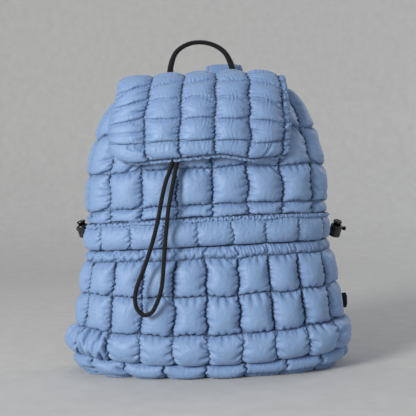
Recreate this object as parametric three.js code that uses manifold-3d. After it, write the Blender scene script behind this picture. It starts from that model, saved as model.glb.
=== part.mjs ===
// A quilted puffer backpack, standing on its base: +Z up, front towards -Y, millimetres.
// The bag is a quilted body with a wide outer pocket drawn in by a gathered band, a padded flap
// over the mouth, a drawcord hanging in a loop, a carrying handle and two shoulder straps.

import * as THREE from 'three';
import { mergeVertices } from 'three/addons/utils/BufferGeometryUtils.js';
import Module from 'manifold-3d';

// Body sizes
const bodyHeight = 348; // floor to the upper edge of the quilted body
const halfWidth = 165; // middle to the seam line of the widest row
const frontDepth = 81; // middle to the seam line in front
const backDepth = 62; // middle to the seam line behind
const frontRoundness = 2.2; // power of the section's outline in front, 2 is an ellipse
const backRoundness = 3.2; // power of the section's outline behind
const clothWall = 3; // cloth, thin filling and lining at a seam
const puffHeight = 11; // how far the filling stands above the seams
const baseRollHeight = 21; // the same on the lowest, fullest row
const backPuffHeight = 5; // the same on the back
const sideLift = 10; // how far the lowest seam rises from the middle to the sides
const slump = 0.026; // rise of the right side for each unit of width
const seatGap = 0.3; // between pieces that are sewn to each other
const sideSeamGap = 1.6; // between the front and the back at the side seams
const layerGap = 1.6; // between two layers of cloth that lie on each other

// Pocket and band sizes
const pocketHeight = 158.7; // floor to the upper edge of the pocket
const bandSeat = 1; // between the pocket's edge and the band
const bandHeight = 34; // height of the gathered band
const bandPuff = 14; // how far the band stands above its edges
const bandFoldDepth = 2.4; // depth of the folds that the drawn band has
const bandFolds = 22; // number of folds
const bandEndFull = 0.4; // how full the band still is at its ends
const bandEndShare = 1 / 6; // share of its length over which it flattens
const gatherDepth = 2.2; // depth of the folds under the band

// Quilting sizes
const pocketPitch = 42; // width of a quilted box of the pocket
const pocketPhase = -5; // first seam of the pocket, right of the middle
const bodyPitch = 45; // width of a quilted box of the body
const bodyPhase = 9; // first seam of the body, right of the middle
const wrapReach = 0.9; // where the side seams lie behind, as a share of the half width

// Flap sizes
const flapLeft = 118; // middle to the left edge at the hem
const flapRight = 101; // middle to the right edge at the hem
const flapRise = 21; // seam surface of the flap above the body's edge, on top
const flapFall = 83; // from the body's edge down to the hem's lower edge
const flapStandOff = 22.5; // from the body's seam surface to the flap's, in front
const flapBackStandOff = 12; // the same behind
const flapHem = 18; // height of the gathered hem
const flapRows = 8; // quilted rows above the hem
const flapFrontRows = 5; // rows from the hem up that the front shows
const flapHemFull = 0.45; // how full the hem is, as a share of flapPuff
const hemDip = 0.55; // and how much of that is left between its gathers
const sideHemDip = 0.4; // the same on the ruched hem
const flapPuff = 8.5; // how far the filling stands above the seams
const sideHemPuff = 3.2; // the same on the ruched hem at the right
const flapWrap = 25; // how far the sides bend back in front
const flapBackWrap = 7; // the same behind
const flapCrown = 9; // how far the sides drop on top

// Mouth sizes
const mouthHalfWidth = 58; // of the drawn opening
const mouthHalfDepth = 22;
const collarWall = 2.4;
const collarRaise = 0.9; // between the body's edge and the collar that is sewn on it
const collarSink = 7; // how far the drawn opening lies under the body's edge
const collarFoldDepth = 3.2;
const collarFolds = 16;

// Handle, strap and cord sizes
const handleLeft = -46; // foot of the handle
const handleRight = 41;
const handleRise = 79; // top of the handle above the body's edge
const handleBack = 16; // how far the grip stands behind the feet
const handleWidth = 11; // of the rolled webbing, front to back
const handleThickness = 5.6;
const handleFootWidth = 18; // where the webbing opens flat
const handleFootThickness = 3.4;
const strapSpread = 88; // middle to the strap's lower end
const strapBow = 50; // how far a strap stands behind the back
const strapWidth = 49;
const strapThickness = 10;
const strapTaper = 0.42; // share of its width that a strap loses towards its lower end
const strapThinning = 0.25; // share of its thickness that it loses there
const webbingWidth = 20;
const webbingThickness = 1.6;
const adjusterWidth = 30;
const adjusterLength = 24;
const adjusterThickness = 4;
const adjusterSlot = 3.4;
const adjusterCorner = 3;
const anchorThickness = 2.6;
const anchorLevel = 66; // floor to the middle of the tab
const anchorSeamHeight = 24; // of the tab along the seam
const anchorTipHeight = 14;
const webbingSag = [0, 4, -10]; // how far the slack webbing hangs off the straight line to its tab
const webbingOnTab = 0.35; // share of the tab before the webbing lies on it
const cordDiameter = 5;

// Cord lock sizes
const barrelRadius = 7.6;
const barrelBase = 1.6; // thickness of its closed end
const barrelBevel = 1;
const plungerRadius = 4.6;
const plungerHeadRadius = 5.8;
const plungerHead = 2.5; // thickness of its head
const plungerWeb = 1.4; // stem under its slot
const plungerTravel = 3;
const plungerClearance = 0.35;
const barrelAbove = 6.2; // from the cord's middle to the barrel's rim
const lockStandOff = 17; // from the band's end to the barrel's middle
const lockCordDiameter = 3;
const lockCordTail = 9; // cord past the barrel
const bandEndPast = 8; // arc of the band past the widest point
const hiddenLockWidth = 20;
const hiddenLockDepth = 12;
const hiddenLockHeight = 9;
const hiddenLockCorner = 2;

// Levels of the seams as shares of bodyHeight
const seams = {
  baseTop: 0.052,
  rollTop: 0.155,
  middle: 0.287,
  gather: 0.414,
  firstBody: 0.601,
  secondBody: 0.727,
  thirdBody: 0.856,
  edge: 1,
};

// Half width, front depth and back depth of the pocket's seam surface, as shares of the body sizes
const pocketForm = [
  { height: 0.052, width: 1.015, front: 0.95, back: 0.94 },
  { height: 0.155, width: 1.0, front: 1.0, back: 1.0 },
  { height: 0.287, width: 0.965, front: 0.985, back: 1.0 },
  { height: 0.414, width: 0.926, front: 0.94, back: 0.98 },
  { height: 0.457, width: 0.905, front: 0.9, back: 0.97 },
];

// Section of the band: how far it stands out at each share of its height
const bandSection = [
  { rise: 0, full: 0 },
  { rise: 0.14, full: 0.66 },
  { rise: 0.5, full: 1 },
  { rise: 0.86, full: 0.66 },
  { rise: 1, full: 0 },
];

// The same as the pocket's for the body above it
const bodyForm = [
  { height: 0.47, width: 0.876, front: 0.85, back: 0.95 },
  { height: 0.56, width: 0.884, front: 0.858, back: 0.96 },
  { height: 0.601, width: 0.893, front: 0.862, back: 0.96 },
  { height: 0.727, width: 0.883, front: 0.852, back: 0.95 },
  { height: 0.856, width: 0.816, front: 0.778, back: 0.92 },
  { height: 0.93, width: 0.75, front: 0.69, back: 0.87 },
  { height: 0.97, width: 0.69, front: 0.63, back: 0.83 },
  { height: 1.0, width: 0.626, front: 0.575, back: 0.78 },
];

// How far the sides lie above the middle at a height, as a share of sideLift
const sideRise = [
  { height: 0, rise: 0 },
  { height: 0.052, rise: 1 },
  { height: 0.155, rise: 0.8 },
  { height: 0.287, rise: 0.5 },
  { height: 0.414, rise: 0 },
  { height: 0.51, rise: -0.4 },
  { height: 0.6, rise: -0.4 },
  { height: 0.856, rise: 0 },
];

// The flap's middle line from the hem to the back edge: depth as a share of the depth there, and
// height as a share of the fall to the hem or of the rise above the body's edge
const flapLine = [
  { depth: -1.02, fall: 1.0 },
  { depth: -1.0, fall: 0.73 },
  { depth: -0.955, fall: 0.44 },
  { depth: -0.86, fall: 0.14 },
  { depth: -0.7, rise: 0.36 },
  { depth: -0.46, rise: 0.84 },
  { depth: -0.16, rise: 1.0 },
  { depth: 0.32, rise: 1.0 },
  { depth: 0.68, rise: 0.88 },
  { depth: 0.86, rise: 0.45 },
  { depth: 0.85, rise: 0.08 },
];

// The flap's seams across it, as shares of its width, and how its edges lie along it
const flapSeams = [0, 0.205, 0.395, 0.582, 0.77, 0.958, 1];
const flapEdges = [
  { along: 0, left: 1.0, right: 1.0 },
  { along: 0.2, left: 0.99, right: 1.03 },
  { along: 0.45, left: 0.94, right: 1.0 },
  { along: 0.7, left: 0.9, right: 0.97 },
  { along: 0.9, left: 0.8, right: 0.86 },
  { along: 1, left: 0.7, right: 0.78 },
];

// Middle line of the handle: side as a share of half its span, rise as a share of handleRise above
// the body's edge, back as a share of handleBack
const handleLine = [
  { side: -1, rise: -0.16, back: 0 },
  { side: -1, rise: -0.03, back: 0.3 },
  { side: -1.01, rise: 0.14, back: 0.9 },
  { side: -1.0, rise: 0.36, back: 1 },
  { side: -0.96, rise: 0.62, back: 1 },
  { side: -0.78, rise: 0.85, back: 1 },
  { side: -0.42, rise: 0.975, back: 1 },
  { side: -0.05, rise: 1.0, back: 1 },
  { side: 0.35, rise: 0.95, back: 1 },
  { side: 0.7, rise: 0.82, back: 1 },
  { side: 0.9, rise: 0.62, back: 1 },
  { side: 1.0, rise: 0.36, back: 1 },
  { side: 1.01, rise: 0.14, back: 0.9 },
  { side: 1, rise: -0.03, back: 0.3 },
  { side: 1, rise: -0.16, back: 0 },
];

// Middle lines of the shoulder straps: side as a share of strapSpread, back as a share of strapBow,
// height as a share of bodyHeight
const strapLines = {
  right: [
    { side: 0.29, back: 0, height: 0.785 },
    { side: 0.29, back: 0, height: 0.85 },
    { side: 0.29, back: 0.14, height: 0.95 },
    { side: 0.3, back: 0.36, height: 1.01 },
    { side: 0.305, back: 0.5, height: 1.075 },
    { side: 0.315, back: 0.66, height: 1.13 },
    { side: 0.34, back: 0.9, height: 1.122 },
    { side: 0.4, back: 1.12, height: 1.03 },
    { side: 0.5, back: 1.14, height: 0.88 },
    { side: 0.68, back: 1.0, height: 0.68 },
    { side: 0.86, back: 0.74, height: 0.5 },
    { side: 1.0, back: 0.5, height: 0.36 },
  ],
  left: [
    { side: 0.29, back: 0, height: 0.775 },
    { side: 0.29, back: 0, height: 0.83 },
    { side: 0.29, back: 0.14, height: 0.93 },
    { side: 0.3, back: 0.4, height: 0.995 },
    { side: 0.31, back: 0.55, height: 1.03 },
    { side: 0.325, back: 0.73, height: 1.045 },
    { side: 0.35, back: 0.94, height: 1.03 },
    { side: 0.42, back: 1.12, height: 0.955 },
    { side: 0.53, back: 1.12, height: 0.82 },
    { side: 0.71, back: 0.98, height: 0.64 },
    { side: 0.87, back: 0.73, height: 0.475 },
    { side: 1.0, back: 0.5, height: 0.345 },
  ],
};

// Where the side anchors' tips lie from the side seams: out to the side and to the back
const anchorReach = { right: { out: 37, back: 7 }, left: { out: 17, back: 35 } };

// Cord locks at the band's ends: rise as a share of the band's height, the barrel's lean outward and
// the turn of its cord from straight back to straight out, in radians
const lockPlaces = {
  right: { rise: 0.3, lean: 0.42, turn: 1.0 },
  left: { rise: 0.78, lean: 0.3, turn: 0.6 },
};

// Route of the drawcord's middle line, chosen by hand, from the hidden lock and back to it
const cordRoute = [
  [-39.5, -36.3, 354.8],
  [-40.1, -44.0, 355.0],
  [-40.6, -52.0, 352.5],
  [-40.9, -59.6, 346.0],
  [-40.8, -66.5, 335.0],
  [-40.2, -73.4, 317.0],
  [-39.2, -79.2, 294.0],
  [-38.2, -82.4, 272.0],
  [-41.0, -84.6, 255.0],
  [-47.5, -87.2, 238.0],
  [-52.5, -89.6, 219.0],
  [-57.0, -91.6, 197.0],
  [-62.5, -92.6, 175.0],
  [-68.5, -93.4, 156.0],
  [-76.5, -94.4, 134.0],
  [-84.0, -95.0, 116.0],
  [-87.2, -95.0, 100.5],
  [-84.2, -95.0, 87.5],
  [-76.6, -95.0, 81.5],
  [-68.6, -95.0, 84.0],
  [-61.8, -95.0, 95.0],
  [-56.2, -95.0, 111.0],
  [-53.0, -94.4, 135.0],
  [-51.0, -93.2, 157.0],
  [-48.6, -92.4, 180.0],
  [-45.6, -91.0, 204.0],
  [-40.6, -88.0, 229.0],
  [-36.2, -85.2, 250.0],
  [-31.6, -82.6, 272.0],
  [-31.0, -79.2, 294.0],
  [-30.6, -73.4, 317.0],
  [-30.2, -66.6, 335.0],
  [-30.2, -59.8, 346.0],
  [-30.6, -52.0, 352.5],
  [-31.0, -44.0, 355.0],
  [-31.6, -36.3, 354.8],
];

// Finishes
const blueNylon = { color: 0x93a9cc, roughness: 0.45, metalness: 0 };
const blueLining = { color: 0x6f87b0, roughness: 0.6, metalness: 0 };
const blackWebbing = { color: 0x17181b, roughness: 0.8, metalness: 0 };
const blackPlastic = { color: 0x101113, roughness: 0.35, metalness: 0 };
const blackCord = { color: 0x141518, roughness: 0.75, metalness: 0 };

// Section of the base from its middle to its upper face: millimetres outside the seam line, height as
// a share of the base's, and how much of the sides' rise it takes
const baseSection = [
  { out: -34, rise: 0, lift: 0 },
  { out: -10, rise: 0.22, lift: 0.35 },
  { out: 1.5, rise: 0.62, lift: 0.8 },
  { out: 0, rise: 1, lift: 1 },
  { out: -8.6, rise: 1, lift: 1 },
  { out: -18.6, rise: 0.55, lift: 0.5 },
];

// Value of a column of a table at a place between its rows
function between(rows, key, place, column) {
  const last = rows.length - 1;
  if (place <= rows[0][key]) return rows[0][column];
  if (place >= rows[last][key]) return rows[last][column];
  const next = rows.findIndex((row) => row[key] > place);
  const part = (place - rows[next - 1][key]) / (rows[next][key] - rows[next - 1][key]);
  return rows[next - 1][column] + part * (rows[next][column] - rows[next - 1][column]);
}

// Half width, front depth and back depth of the pocket's seam surface at a height
function pocketSizes(height) {
  const share = height / bodyHeight;
  return {
    half: halfWidth * between(pocketForm, 'height', share, 'width'),
    front: frontDepth * between(pocketForm, 'height', share, 'front'),
    back: backDepth * between(pocketForm, 'height', share, 'back'),
  };
}

// The same for the body, which lies inside the pocket as far up as the pocket reaches
function bodySizes(height) {
  if (height > pocketHeight) {
    const share = height / bodyHeight;
    return {
      half: halfWidth * between(bodyForm, 'height', share, 'width'),
      front: frontDepth * between(bodyForm, 'height', share, 'front'),
      back: backDepth * between(bodyForm, 'height', share, 'back'),
    };
  }
  const outer = pocketSizes(height);
  const inset = clothWall + layerGap;
  return { half: outer.half - inset, front: outer.front - inset, back: outer.back - inset };
}

// Point of a section's outline: angle 0 is the middle of the front, positive towards +X
function outlinePoint(sizes, angle) {
  const inFront = Math.cos(angle) > 0;
  const power = 2 / (inFront ? frontRoundness : backRoundness);
  const depth = inFront ? sizes.front : sizes.back;
  const x = sizes.half * Math.sign(Math.sin(angle)) * Math.abs(Math.sin(angle)) ** power;
  const y = -depth * Math.sign(Math.cos(angle)) * Math.abs(Math.cos(angle)) ** power;
  return { x, y };
}

// Height of a point of the bag: the lowest seams rise at the sides, and the right side stands higher
function settledHeight(x, height) {
  const side = Math.min(1, Math.abs(x) / halfWidth);
  const firm = Math.min(1, height / pocketHeight);
  const lift = sideLift * between(sideRise, 'height', height / bodyHeight, 'rise');
  return height + lift * side ** 2 + slump * x * firm;
}

// Surface of a layer of the bag: angle round it and height up it
function bagSurface(sizesAt, grow) {
  return (angle, height) => {
    const sizes = sizesAt(height);
    const grown = { half: sizes.half + grow, front: sizes.front + grow, back: sizes.back + grow };
    const point = outlinePoint(grown, angle);
    return new THREE.Vector3(point.x, point.y, settledHeight(point.x, height));
  };
}

// Angle of a section's outline at a length of arc from the middle of the front
function angleByArc(sizes) {
  const steps = 720;
  const arcs = [0];
  let before = outlinePoint(sizes, 0);
  for (let step = 1; step <= steps; step += 1) {
    const point = outlinePoint(sizes, (Math.PI * step) / steps);
    arcs.push(arcs[step - 1] + Math.hypot(point.x - before.x, point.y - before.y));
    before = point;
  }
  return (arc) => {
    const next = Math.max(1, arcs.findIndex((length) => length >= Math.abs(arc)));
    const part = (Math.abs(arc) - arcs[next - 1]) / (arcs[next] - arcs[next - 1]);
    return (Math.sign(arc) * Math.PI * (next - 1 + part)) / steps;
  };
}

// Length of arc from the middle of the front to the widest point, to the side seam and to the back
function sideSeamArc(sizes) {
  const steps = 720;
  let arc = 0;
  let before = outlinePoint(sizes, 0);
  let seam = 0;
  let widest = 0;
  for (let step = 1; step <= steps; step += 1) {
    const point = outlinePoint(sizes, (Math.PI * step) / steps);
    arc += Math.hypot(point.x - before.x, point.y - before.y);
    before = point;
    if (point.y < 0) widest = arc;
    if (point.y < 0 || point.x > wrapReach * sizes.half) seam = arc;
  }
  return { widest, seam, half: arc };
}

// Places of quilting seams between two ends, a pitch apart, none closer to an end than a third
function seamPlaces(from, to, pitch, phase) {
  const places = [from];
  const first = Math.ceil((from - phase) / pitch);
  for (let count = first; phase + count * pitch < to; count += 1) {
    const place = phase + count * pitch;
    if (place - from > pitch / 3 && to - place > pitch / 3) places.push(place);
  }
  places.push(to);
  return places;
}

// Stations of a quilted direction: each box is cut at the given shares, full between its seams
function boxStations(places, cuts) {
  const stations = [];
  for (let box = 0; box + 1 < places.length; box += 1) {
    for (const cut of cuts) {
      const at = places[box] + cut * (places[box + 1] - places[box]);
      stations.push({ at, full: cut === 0 ? 0 : 1, box });
    }
  }
  stations.push({ at: places[places.length - 1], full: 0, box: places.length - 2 });
  return stations;
}

const threeCuts = [0, 0.24, 0.76];
const twoCuts = [0, 0.5];

// Outward direction of a surface at a place of it
function directionOut(surface, u, v, stepU, stepV) {
  const along = surface(u + stepU, v).sub(surface(u - stepU, v));
  const up = surface(u, v + stepV).sub(surface(u, v - stepV));
  return along.cross(up).normalize();
}

// Closed geometry from triangles, turned to face out
function closedGeometry(positions, triangles) {
  let volume = 0;
  const [a, b, c] = [new THREE.Vector3(), new THREE.Vector3(), new THREE.Vector3()];
  for (let at = 0; at < triangles.length; at += 3) {
    a.fromArray(positions, 3 * triangles[at]);
    b.fromArray(positions, 3 * triangles[at + 1]);
    c.fromArray(positions, 3 * triangles[at + 2]);
    volume += a.dot(b.cross(c));
  }
  const geometry = new THREE.BufferGeometry();
  geometry.setAttribute('position', new THREE.Float32BufferAttribute(positions, 3));
  geometry.setIndex(volume < 0 ? [...triangles].reverse() : triangles);
  geometry.computeVertexNormals();
  return geometry;
}

// Solid between an outer and an inner grid of points, closed at its rims
function sheetSolid(outer, inner, around) {
  const columns = outer.length;
  const rows = outer[0].length;
  const positions = [];
  for (const grid of [outer, inner]) {
    for (const column of grid) for (const point of column) positions.push(...point.toArray());
  }
  const index = (layer, column, row) => layer * columns * rows + (column % columns) * rows + row;
  const triangles = [];
  const quad = (p, q, r, s) => triangles.push(p, q, r, p, r, s);
  const spans = around ? columns : columns - 1;
  for (let column = 0; column < spans; column += 1) {
    const next = column + 1;
    for (let row = 0; row + 1 < rows; row += 1) {
      const corners = (layer) => [
        index(layer, column, row), index(layer, next, row),
        index(layer, next, row + 1), index(layer, column, row + 1),
      ];
      quad(...corners(0));
      quad(...corners(1).reverse());
    }
    const low = [index(1, column, 0), index(1, next, 0), index(0, next, 0), index(0, column, 0)];
    const top = rows - 1;
    quad(...low);
    quad(index(0, column, top), index(0, next, top), index(1, next, top), index(1, column, top));
  }
  if (!around) {
    const end = columns - 1;
    for (let row = 0; row + 1 < rows; row += 1) {
      quad(index(1, 0, row), index(0, 0, row), index(0, 0, row + 1), index(1, 0, row + 1));
      quad(index(0, end, row), index(1, end, row), index(1, end, row + 1), index(0, end, row + 1));
    }
  }
  return closedGeometry(positions, triangles);
}

// Quilted solid: a seam surface, the stations across and along it, its lift and its wall
function quiltedSolid({ surface, across, along, lift, wall, around = false, stepU = 0.002 }) {
  const outer = [];
  const inner = [];
  across.forEach((u, column) => {
    outer.push([]);
    inner.push([]);
    along.forEach((v, row) => {
      const place = surface(u.at, v.at);
      const out = directionOut(surface, u.at, v.at, stepU, 0.5);
      outer[column].push(place.clone().addScaledVector(out, lift(u, v, column, row)));
      inner[column].push(place.clone().addScaledVector(out, -wall));
    });
  });
  return sheetSolid(outer, inner, around);
}

// Solid swept along points: each station has its middle, its side direction and its outline
function sweptSolid(stations) {
  const sides = stations[0].outline.length;
  const positions = [];
  for (const { middle, side, up, outline } of stations) {
    for (const [across, over] of outline) {
      const point = middle.clone().addScaledVector(side, across).addScaledVector(up, over);
      positions.push(...point.toArray());
    }
  }
  const triangles = [];
  for (let station = 0; station + 1 < stations.length; station += 1) {
    for (let edge = 0; edge < sides; edge += 1) {
      const [p, q] = [station * sides + edge, station * sides + ((edge + 1) % sides)];
      triangles.push(p, q, q + sides, p, q + sides, p + sides);
    }
  }
  const last = (stations.length - 1) * sides;
  for (let edge = 1; edge + 1 < sides; edge += 1) {
    triangles.push(0, edge + 1, edge, last, last + edge, last + edge + 1);
  }
  return closedGeometry(positions, triangles);
}

// Rounded flat outline of a strap or webbing
function flatOutline(width, thickness) {
  const [w, t] = [width / 2, thickness / 2];
  const bevel = Math.min(t, w) * 0.7;
  return [
    [-w, -t + bevel], [-w + bevel, -t], [w - bevel, -t], [w, -t + bevel],
    [w, t - bevel], [w - bevel, t], [-w + bevel, t], [-w, t - bevel],
  ];
}

// Frames along a curve whose side stays as near as it can to a given direction
function framesAlong(points, sideHint, outlineAt) {
  return points.map((middle, place) => {
    const before = points[Math.max(0, place - 1)];
    const after = points[Math.min(points.length - 1, place + 1)];
    const along = after.clone().sub(before).normalize();
    const side = sideHint.clone().addScaledVector(along, -sideHint.dot(along)).normalize();
    const up = along.clone().cross(side);
    return { middle, side, up, outline: outlineAt(place / (points.length - 1)) };
  });
}

function namedMesh(name, geometry, finish) {
  const mesh = new THREE.Mesh(geometry, new THREE.MeshStandardMaterial(finish));
  mesh.name = name;
  return mesh;
}

// Heights that the pieces share
const baseTopHeight = seams.baseTop * bodyHeight;
const bandBottom = pocketHeight + bandSeat;
const bandTop = bandBottom + bandHeight;
const heightOf = (share) => share * bodyHeight;

// Outlines that the quilting is measured on
const pocketMeasure = pocketSizes(heightOf(seams.middle));
const bodyMeasure = bodySizes(heightOf(seams.secondBody));
const pocketAngle = angleByArc(pocketMeasure);
const bodyAngle = angleByArc(bodyMeasure);
const pocketArc = sideSeamArc(pocketMeasure);
const bodyArc = sideSeamArc(bodyMeasure);
const bodySurface = bagSurface(bodySizes, 0);
const pocketSurface = bagSurface(pocketSizes, 0);
const bandSurface = bagSurface(bodySizes, clothWall + layerGap);

// Stations across a layer, given as arcs and turned into angles
function acrossLayer(places, cuts, angleAt) {
  return boxStations(places, cuts).map((station) => ({ ...station, at: angleAt(station.at) }));
}

// Base: a padded plate, flat below, whose rim rolls up to the lowest seam
function basePanel() {
  const sides = 36;
  const outside = pocketSizes(baseTopHeight);
  const positions = [0, 0, 0];
  for (const { out, rise, lift } of baseSection) {
    const sizes = { half: outside.half + out, front: outside.front + out, back: outside.back + out };
    for (let side = 0; side < sides; side += 1) {
      const point = outlinePoint(sizes, (2 * Math.PI * side) / sides);
      const risen = settledHeight(point.x, baseTopHeight) - baseTopHeight;
      positions.push(point.x, point.y, rise * baseTopHeight + lift * risen);
    }
  }
  positions.push(0, 0, 0.5 * baseTopHeight);
  const triangles = [];
  const at = (ring, side) => 1 + ring * sides + (side % sides);
  const topMiddle = 1 + baseSection.length * sides;
  for (let side = 0; side < sides; side += 1) {
    triangles.push(0, at(0, side), at(0, side + 1));
    triangles.push(topMiddle, at(baseSection.length - 1, side + 1), at(baseSection.length - 1, side));
    for (let ring = 0; ring + 1 < baseSection.length; ring += 1) {
      triangles.push(at(ring, side), at(ring + 1, side), at(ring + 1, side + 1));
      triangles.push(at(ring, side), at(ring + 1, side + 1), at(ring, side + 1));
    }
  }
  return namedMesh('base_panel', closedGeometry(positions, triangles), blueNylon);
}

// Body: quilted front and sides in one piece, plain where the pocket lies on it
function bodyWrap() {
  const edge = bodyArc.seam - sideSeamGap / 2;
  const across = acrossLayer(seamPlaces(-edge, edge, bodyPitch, bodyPhase), threeCuts, bodyAngle);
  const plain = [baseTopHeight + seatGap * 2, heightOf(seams.rollTop), heightOf(seams.middle),
    heightOf(seams.gather), pocketHeight];
  const rows = [bandTop + seatGap * 2, heightOf(seams.firstBody), heightOf(seams.secondBody),
    heightOf(seams.thirdBody), heightOf(seams.edge)];
  const along = [
    ...plain.map((at) => ({ at, full: 0 })),
    ...boxStations(rows, threeCuts),
  ];
  const lift = (u, v) => (v.box === 0 ? 0.6 : 1) * puffHeight * u.full * v.full;
  return namedMesh('body_wrap', quiltedSolid({
    surface: bodySurface, across, along, lift, wall: clothWall,
  }), blueNylon);
}

// Back: a flatter quilted panel between the two side seams
function backPanel() {
  const from = bodyArc.seam + sideSeamGap / 2;
  const to = 2 * bodyArc.half - from;
  const middle = (from + to) / 2;
  const angleAt = (arc) => (arc <= bodyArc.half
    ? bodyAngle(arc) : 2 * Math.PI - bodyAngle(2 * bodyArc.half - arc));
  const across = acrossLayer(seamPlaces(from, to, bodyPitch, middle), twoCuts, angleAt);
  const rows = [baseTopHeight + seatGap * 2, heightOf(seams.rollTop), heightOf(seams.middle),
    heightOf(seams.gather), heightOf(seams.firstBody), heightOf(seams.secondBody),
    heightOf(seams.thirdBody), heightOf(seams.edge)];
  const along = boxStations(rows, twoCuts);
  return namedMesh('back_panel', quiltedSolid({
    surface: bodySurface, across, along, wall: clothWall,
    lift: (u, v) => backPuffHeight * u.full * v.full,
  }), blueNylon);
}

// Pocket: the lower rows, an outer layer on the front and the sides
function pocketWrap() {
  const edge = pocketArc.seam - seatGap / 2;
  const places = seamPlaces(-edge, edge, pocketPitch, pocketPhase);
  const across = acrossLayer(places, threeCuts, pocketAngle);
  const rows = [baseTopHeight + seatGap * 2, heightOf(seams.rollTop), heightOf(seams.middle),
    heightOf(seams.gather), pocketHeight];
  const gathered = rows.length - 2;
  const along = [
    ...boxStations(rows.slice(0, -1), threeCuts).slice(0, -1),
    ...boxStations(rows.slice(-2), twoCuts).map((station) => ({ ...station, box: gathered })),
  ];
  const lift = (u, v, column) => {
    if (v.box === gathered) return v.full * (2 * gatherDepth + gatherDepth * (column % 2 ? 1 : -1));
    return (v.box === 0 ? baseRollHeight : puffHeight) * u.full * v.full;
  };
  return namedMesh('pocket_wrap', quiltedSolid({
    surface: pocketSurface, across, along, lift, wall: clothWall,
  }), blueNylon);
}

// Band: the gathered casing that draws the pocket in, to just behind the widest point
const bandEndArc = pocketArc.widest + bandEndPast;

function pocketBand() {
  const turns = 2 * bandFolds;
  const across = [];
  for (let turn = 0; turn <= turns; turn += 1) {
    across.push({ at: pocketAngle(bandEndArc * ((2 * turn) / turns - 1)), full: turn % 2 });
  }
  const along = bandSection.map(({ rise, full }) => ({ at: bandBottom + rise * bandHeight, full }));
  const ends = (u) => {
    const fromEnd = 1 - Math.abs(u.at) / pocketAngle(bandEndArc);
    return Math.min(1, bandEndFull + fromEnd / bandEndShare);
  };
  const lift = (u, v) => v.full * (bandPuff * ends(u) - bandFoldDepth * (1 - u.full));
  return namedMesh('pocket_band', quiltedSolid({
    surface: bandSurface, across, along, lift, wall: clothWall,
  }), blueNylon);
}

// Mouth: a gathered collar from the body's edge to the drawn opening
function collarSurface(angle, share) {
  const edge = bodySizes(bodyHeight);
  const inset = clothWall / 2;
  const mix = (outer, inner) => (outer - inset) * (1 - share) + inner * share;
  const sizes = {
    half: mix(edge.half, mouthHalfWidth),
    front: mix(edge.front, mouthHalfDepth),
    back: mix(edge.back, mouthHalfDepth),
  };
  const point = outlinePoint(sizes, angle);
  const height = bodyHeight + collarWall + collarRaise - collarSink * share ** 2;
  return new THREE.Vector3(point.x, point.y, height + slump * point.x);
}

function mouthCollar() {
  const turns = 2 * collarFolds;
  const across = [];
  for (let turn = 0; turn < turns; turn += 1) {
    across.push({ at: (2 * Math.PI * turn) / turns, full: turn % 2 });
  }
  const along = [0, 0.3, 0.65, 1].map((at) => ({ at }));
  const outer = [];
  const inner = [];
  for (const u of across) {
    const column = along.map((v) => collarSurface(u.at, v.at));
    const fold = (v) => collarFoldDepth * (u.full - 0.5) * Math.min(1, v.at * 1.5);
    const raise = (by) => column.map((point, row) => {
      return point.clone().add(new THREE.Vector3(0, 0, by + fold(along[row])));
    });
    outer.push(raise(0));
    inner.push(raise(-collarWall));
  }
  return namedMesh('mouth_collar', sheetSolid(outer, inner, true), blueLining);
}

// Flap: its middle line from the hem to the back edge
function flapCurve() {
  const front = bodySizes(bodyHeight - flapFall).front + flapStandOff;
  const back = bodySizes(bodyHeight).back + flapBackStandOff;
  const points = flapLine.map(({ depth, rise, fall }) => {
    const height = rise === undefined ? bodyHeight - fall * flapFall : bodyHeight + rise * flapRise;
    return new THREE.Vector3(0, depth * (depth < 0 ? front : back), height);
  });
  return new THREE.CatmullRomCurve3(points, false, 'centripetal');
}

const flapMiddle = flapCurve();
const flapLength = flapMiddle.getLength();

// Flap surface: share of the width from the left edge, and length from the hem
function flapSurface(share, length) {
  const along = THREE.MathUtils.clamp(length / flapLength, 0, 1);
  const middle = flapMiddle.getPointAt(along);
  const tangent = flapMiddle.getTangentAt(along);
  const out = new THREE.Vector3(0, -tangent.z, tangent.y);
  const left = -flapLeft * between(flapEdges, 'along', along, 'left');
  const right = flapRight * between(flapEdges, 'along', along, 'right');
  const offset = Math.abs(2 * share - 1);
  const onTop = Math.max(0, out.z) ** 2;
  const wrap = along < 0.5 ? flapWrap : flapBackWrap;
  const bend = flapCrown * onTop * offset ** 4 + wrap * (1 - onTop) * offset ** 2.3;
  const point = middle.clone().addScaledVector(out, -bend);
  point.x = left + share * (right - left);
  point.z += slump * point.x;
  return point;
}

function flap() {
  const across = boxStations(flapSeams, threeCuts);
  const rows = [0];
  for (let row = 0; row <= flapRows; row += 1) {
    rows.push(flapHem + ((flapLength - flapHem) * row) / flapRows);
  }
  const inFront = rows.slice(0, flapFrontRows + 1);
  const behind = rows.slice(flapFrontRows);
  const along = [
    ...boxStations(inFront, threeCuts).slice(0, -1),
    ...boxStations(behind, twoCuts).map((station) => ({ ...station, box: station.box + flapFrontRows })),
  ];
  const lift = (u, v, column, row) => {
    if (u.box === flapSeams.length - 2) return sideHemPuff * u.full * (row % 2 ? 1 : sideHemDip);
    if (v.box === 0) return flapHemFull * flapPuff * v.full * (column % 2 ? 1 : hemDip);
    return flapPuff * u.full * v.full;
  };
  return namedMesh('flap', quiltedSolid({
    surface: flapSurface, across, along, lift, wall: clothWall,
  }), blueNylon);
}

// Depth behind the middle of the back's outer face, filling included
function backFace(x, height) {
  const sizes = bodySizes(Math.min(height, bodyHeight));
  const share = Math.min(1, Math.abs(x) / sizes.half);
  return sizes.back * (1 - share ** backRoundness) ** (1 / backRoundness) + backPuffHeight + seatGap;
}

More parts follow.
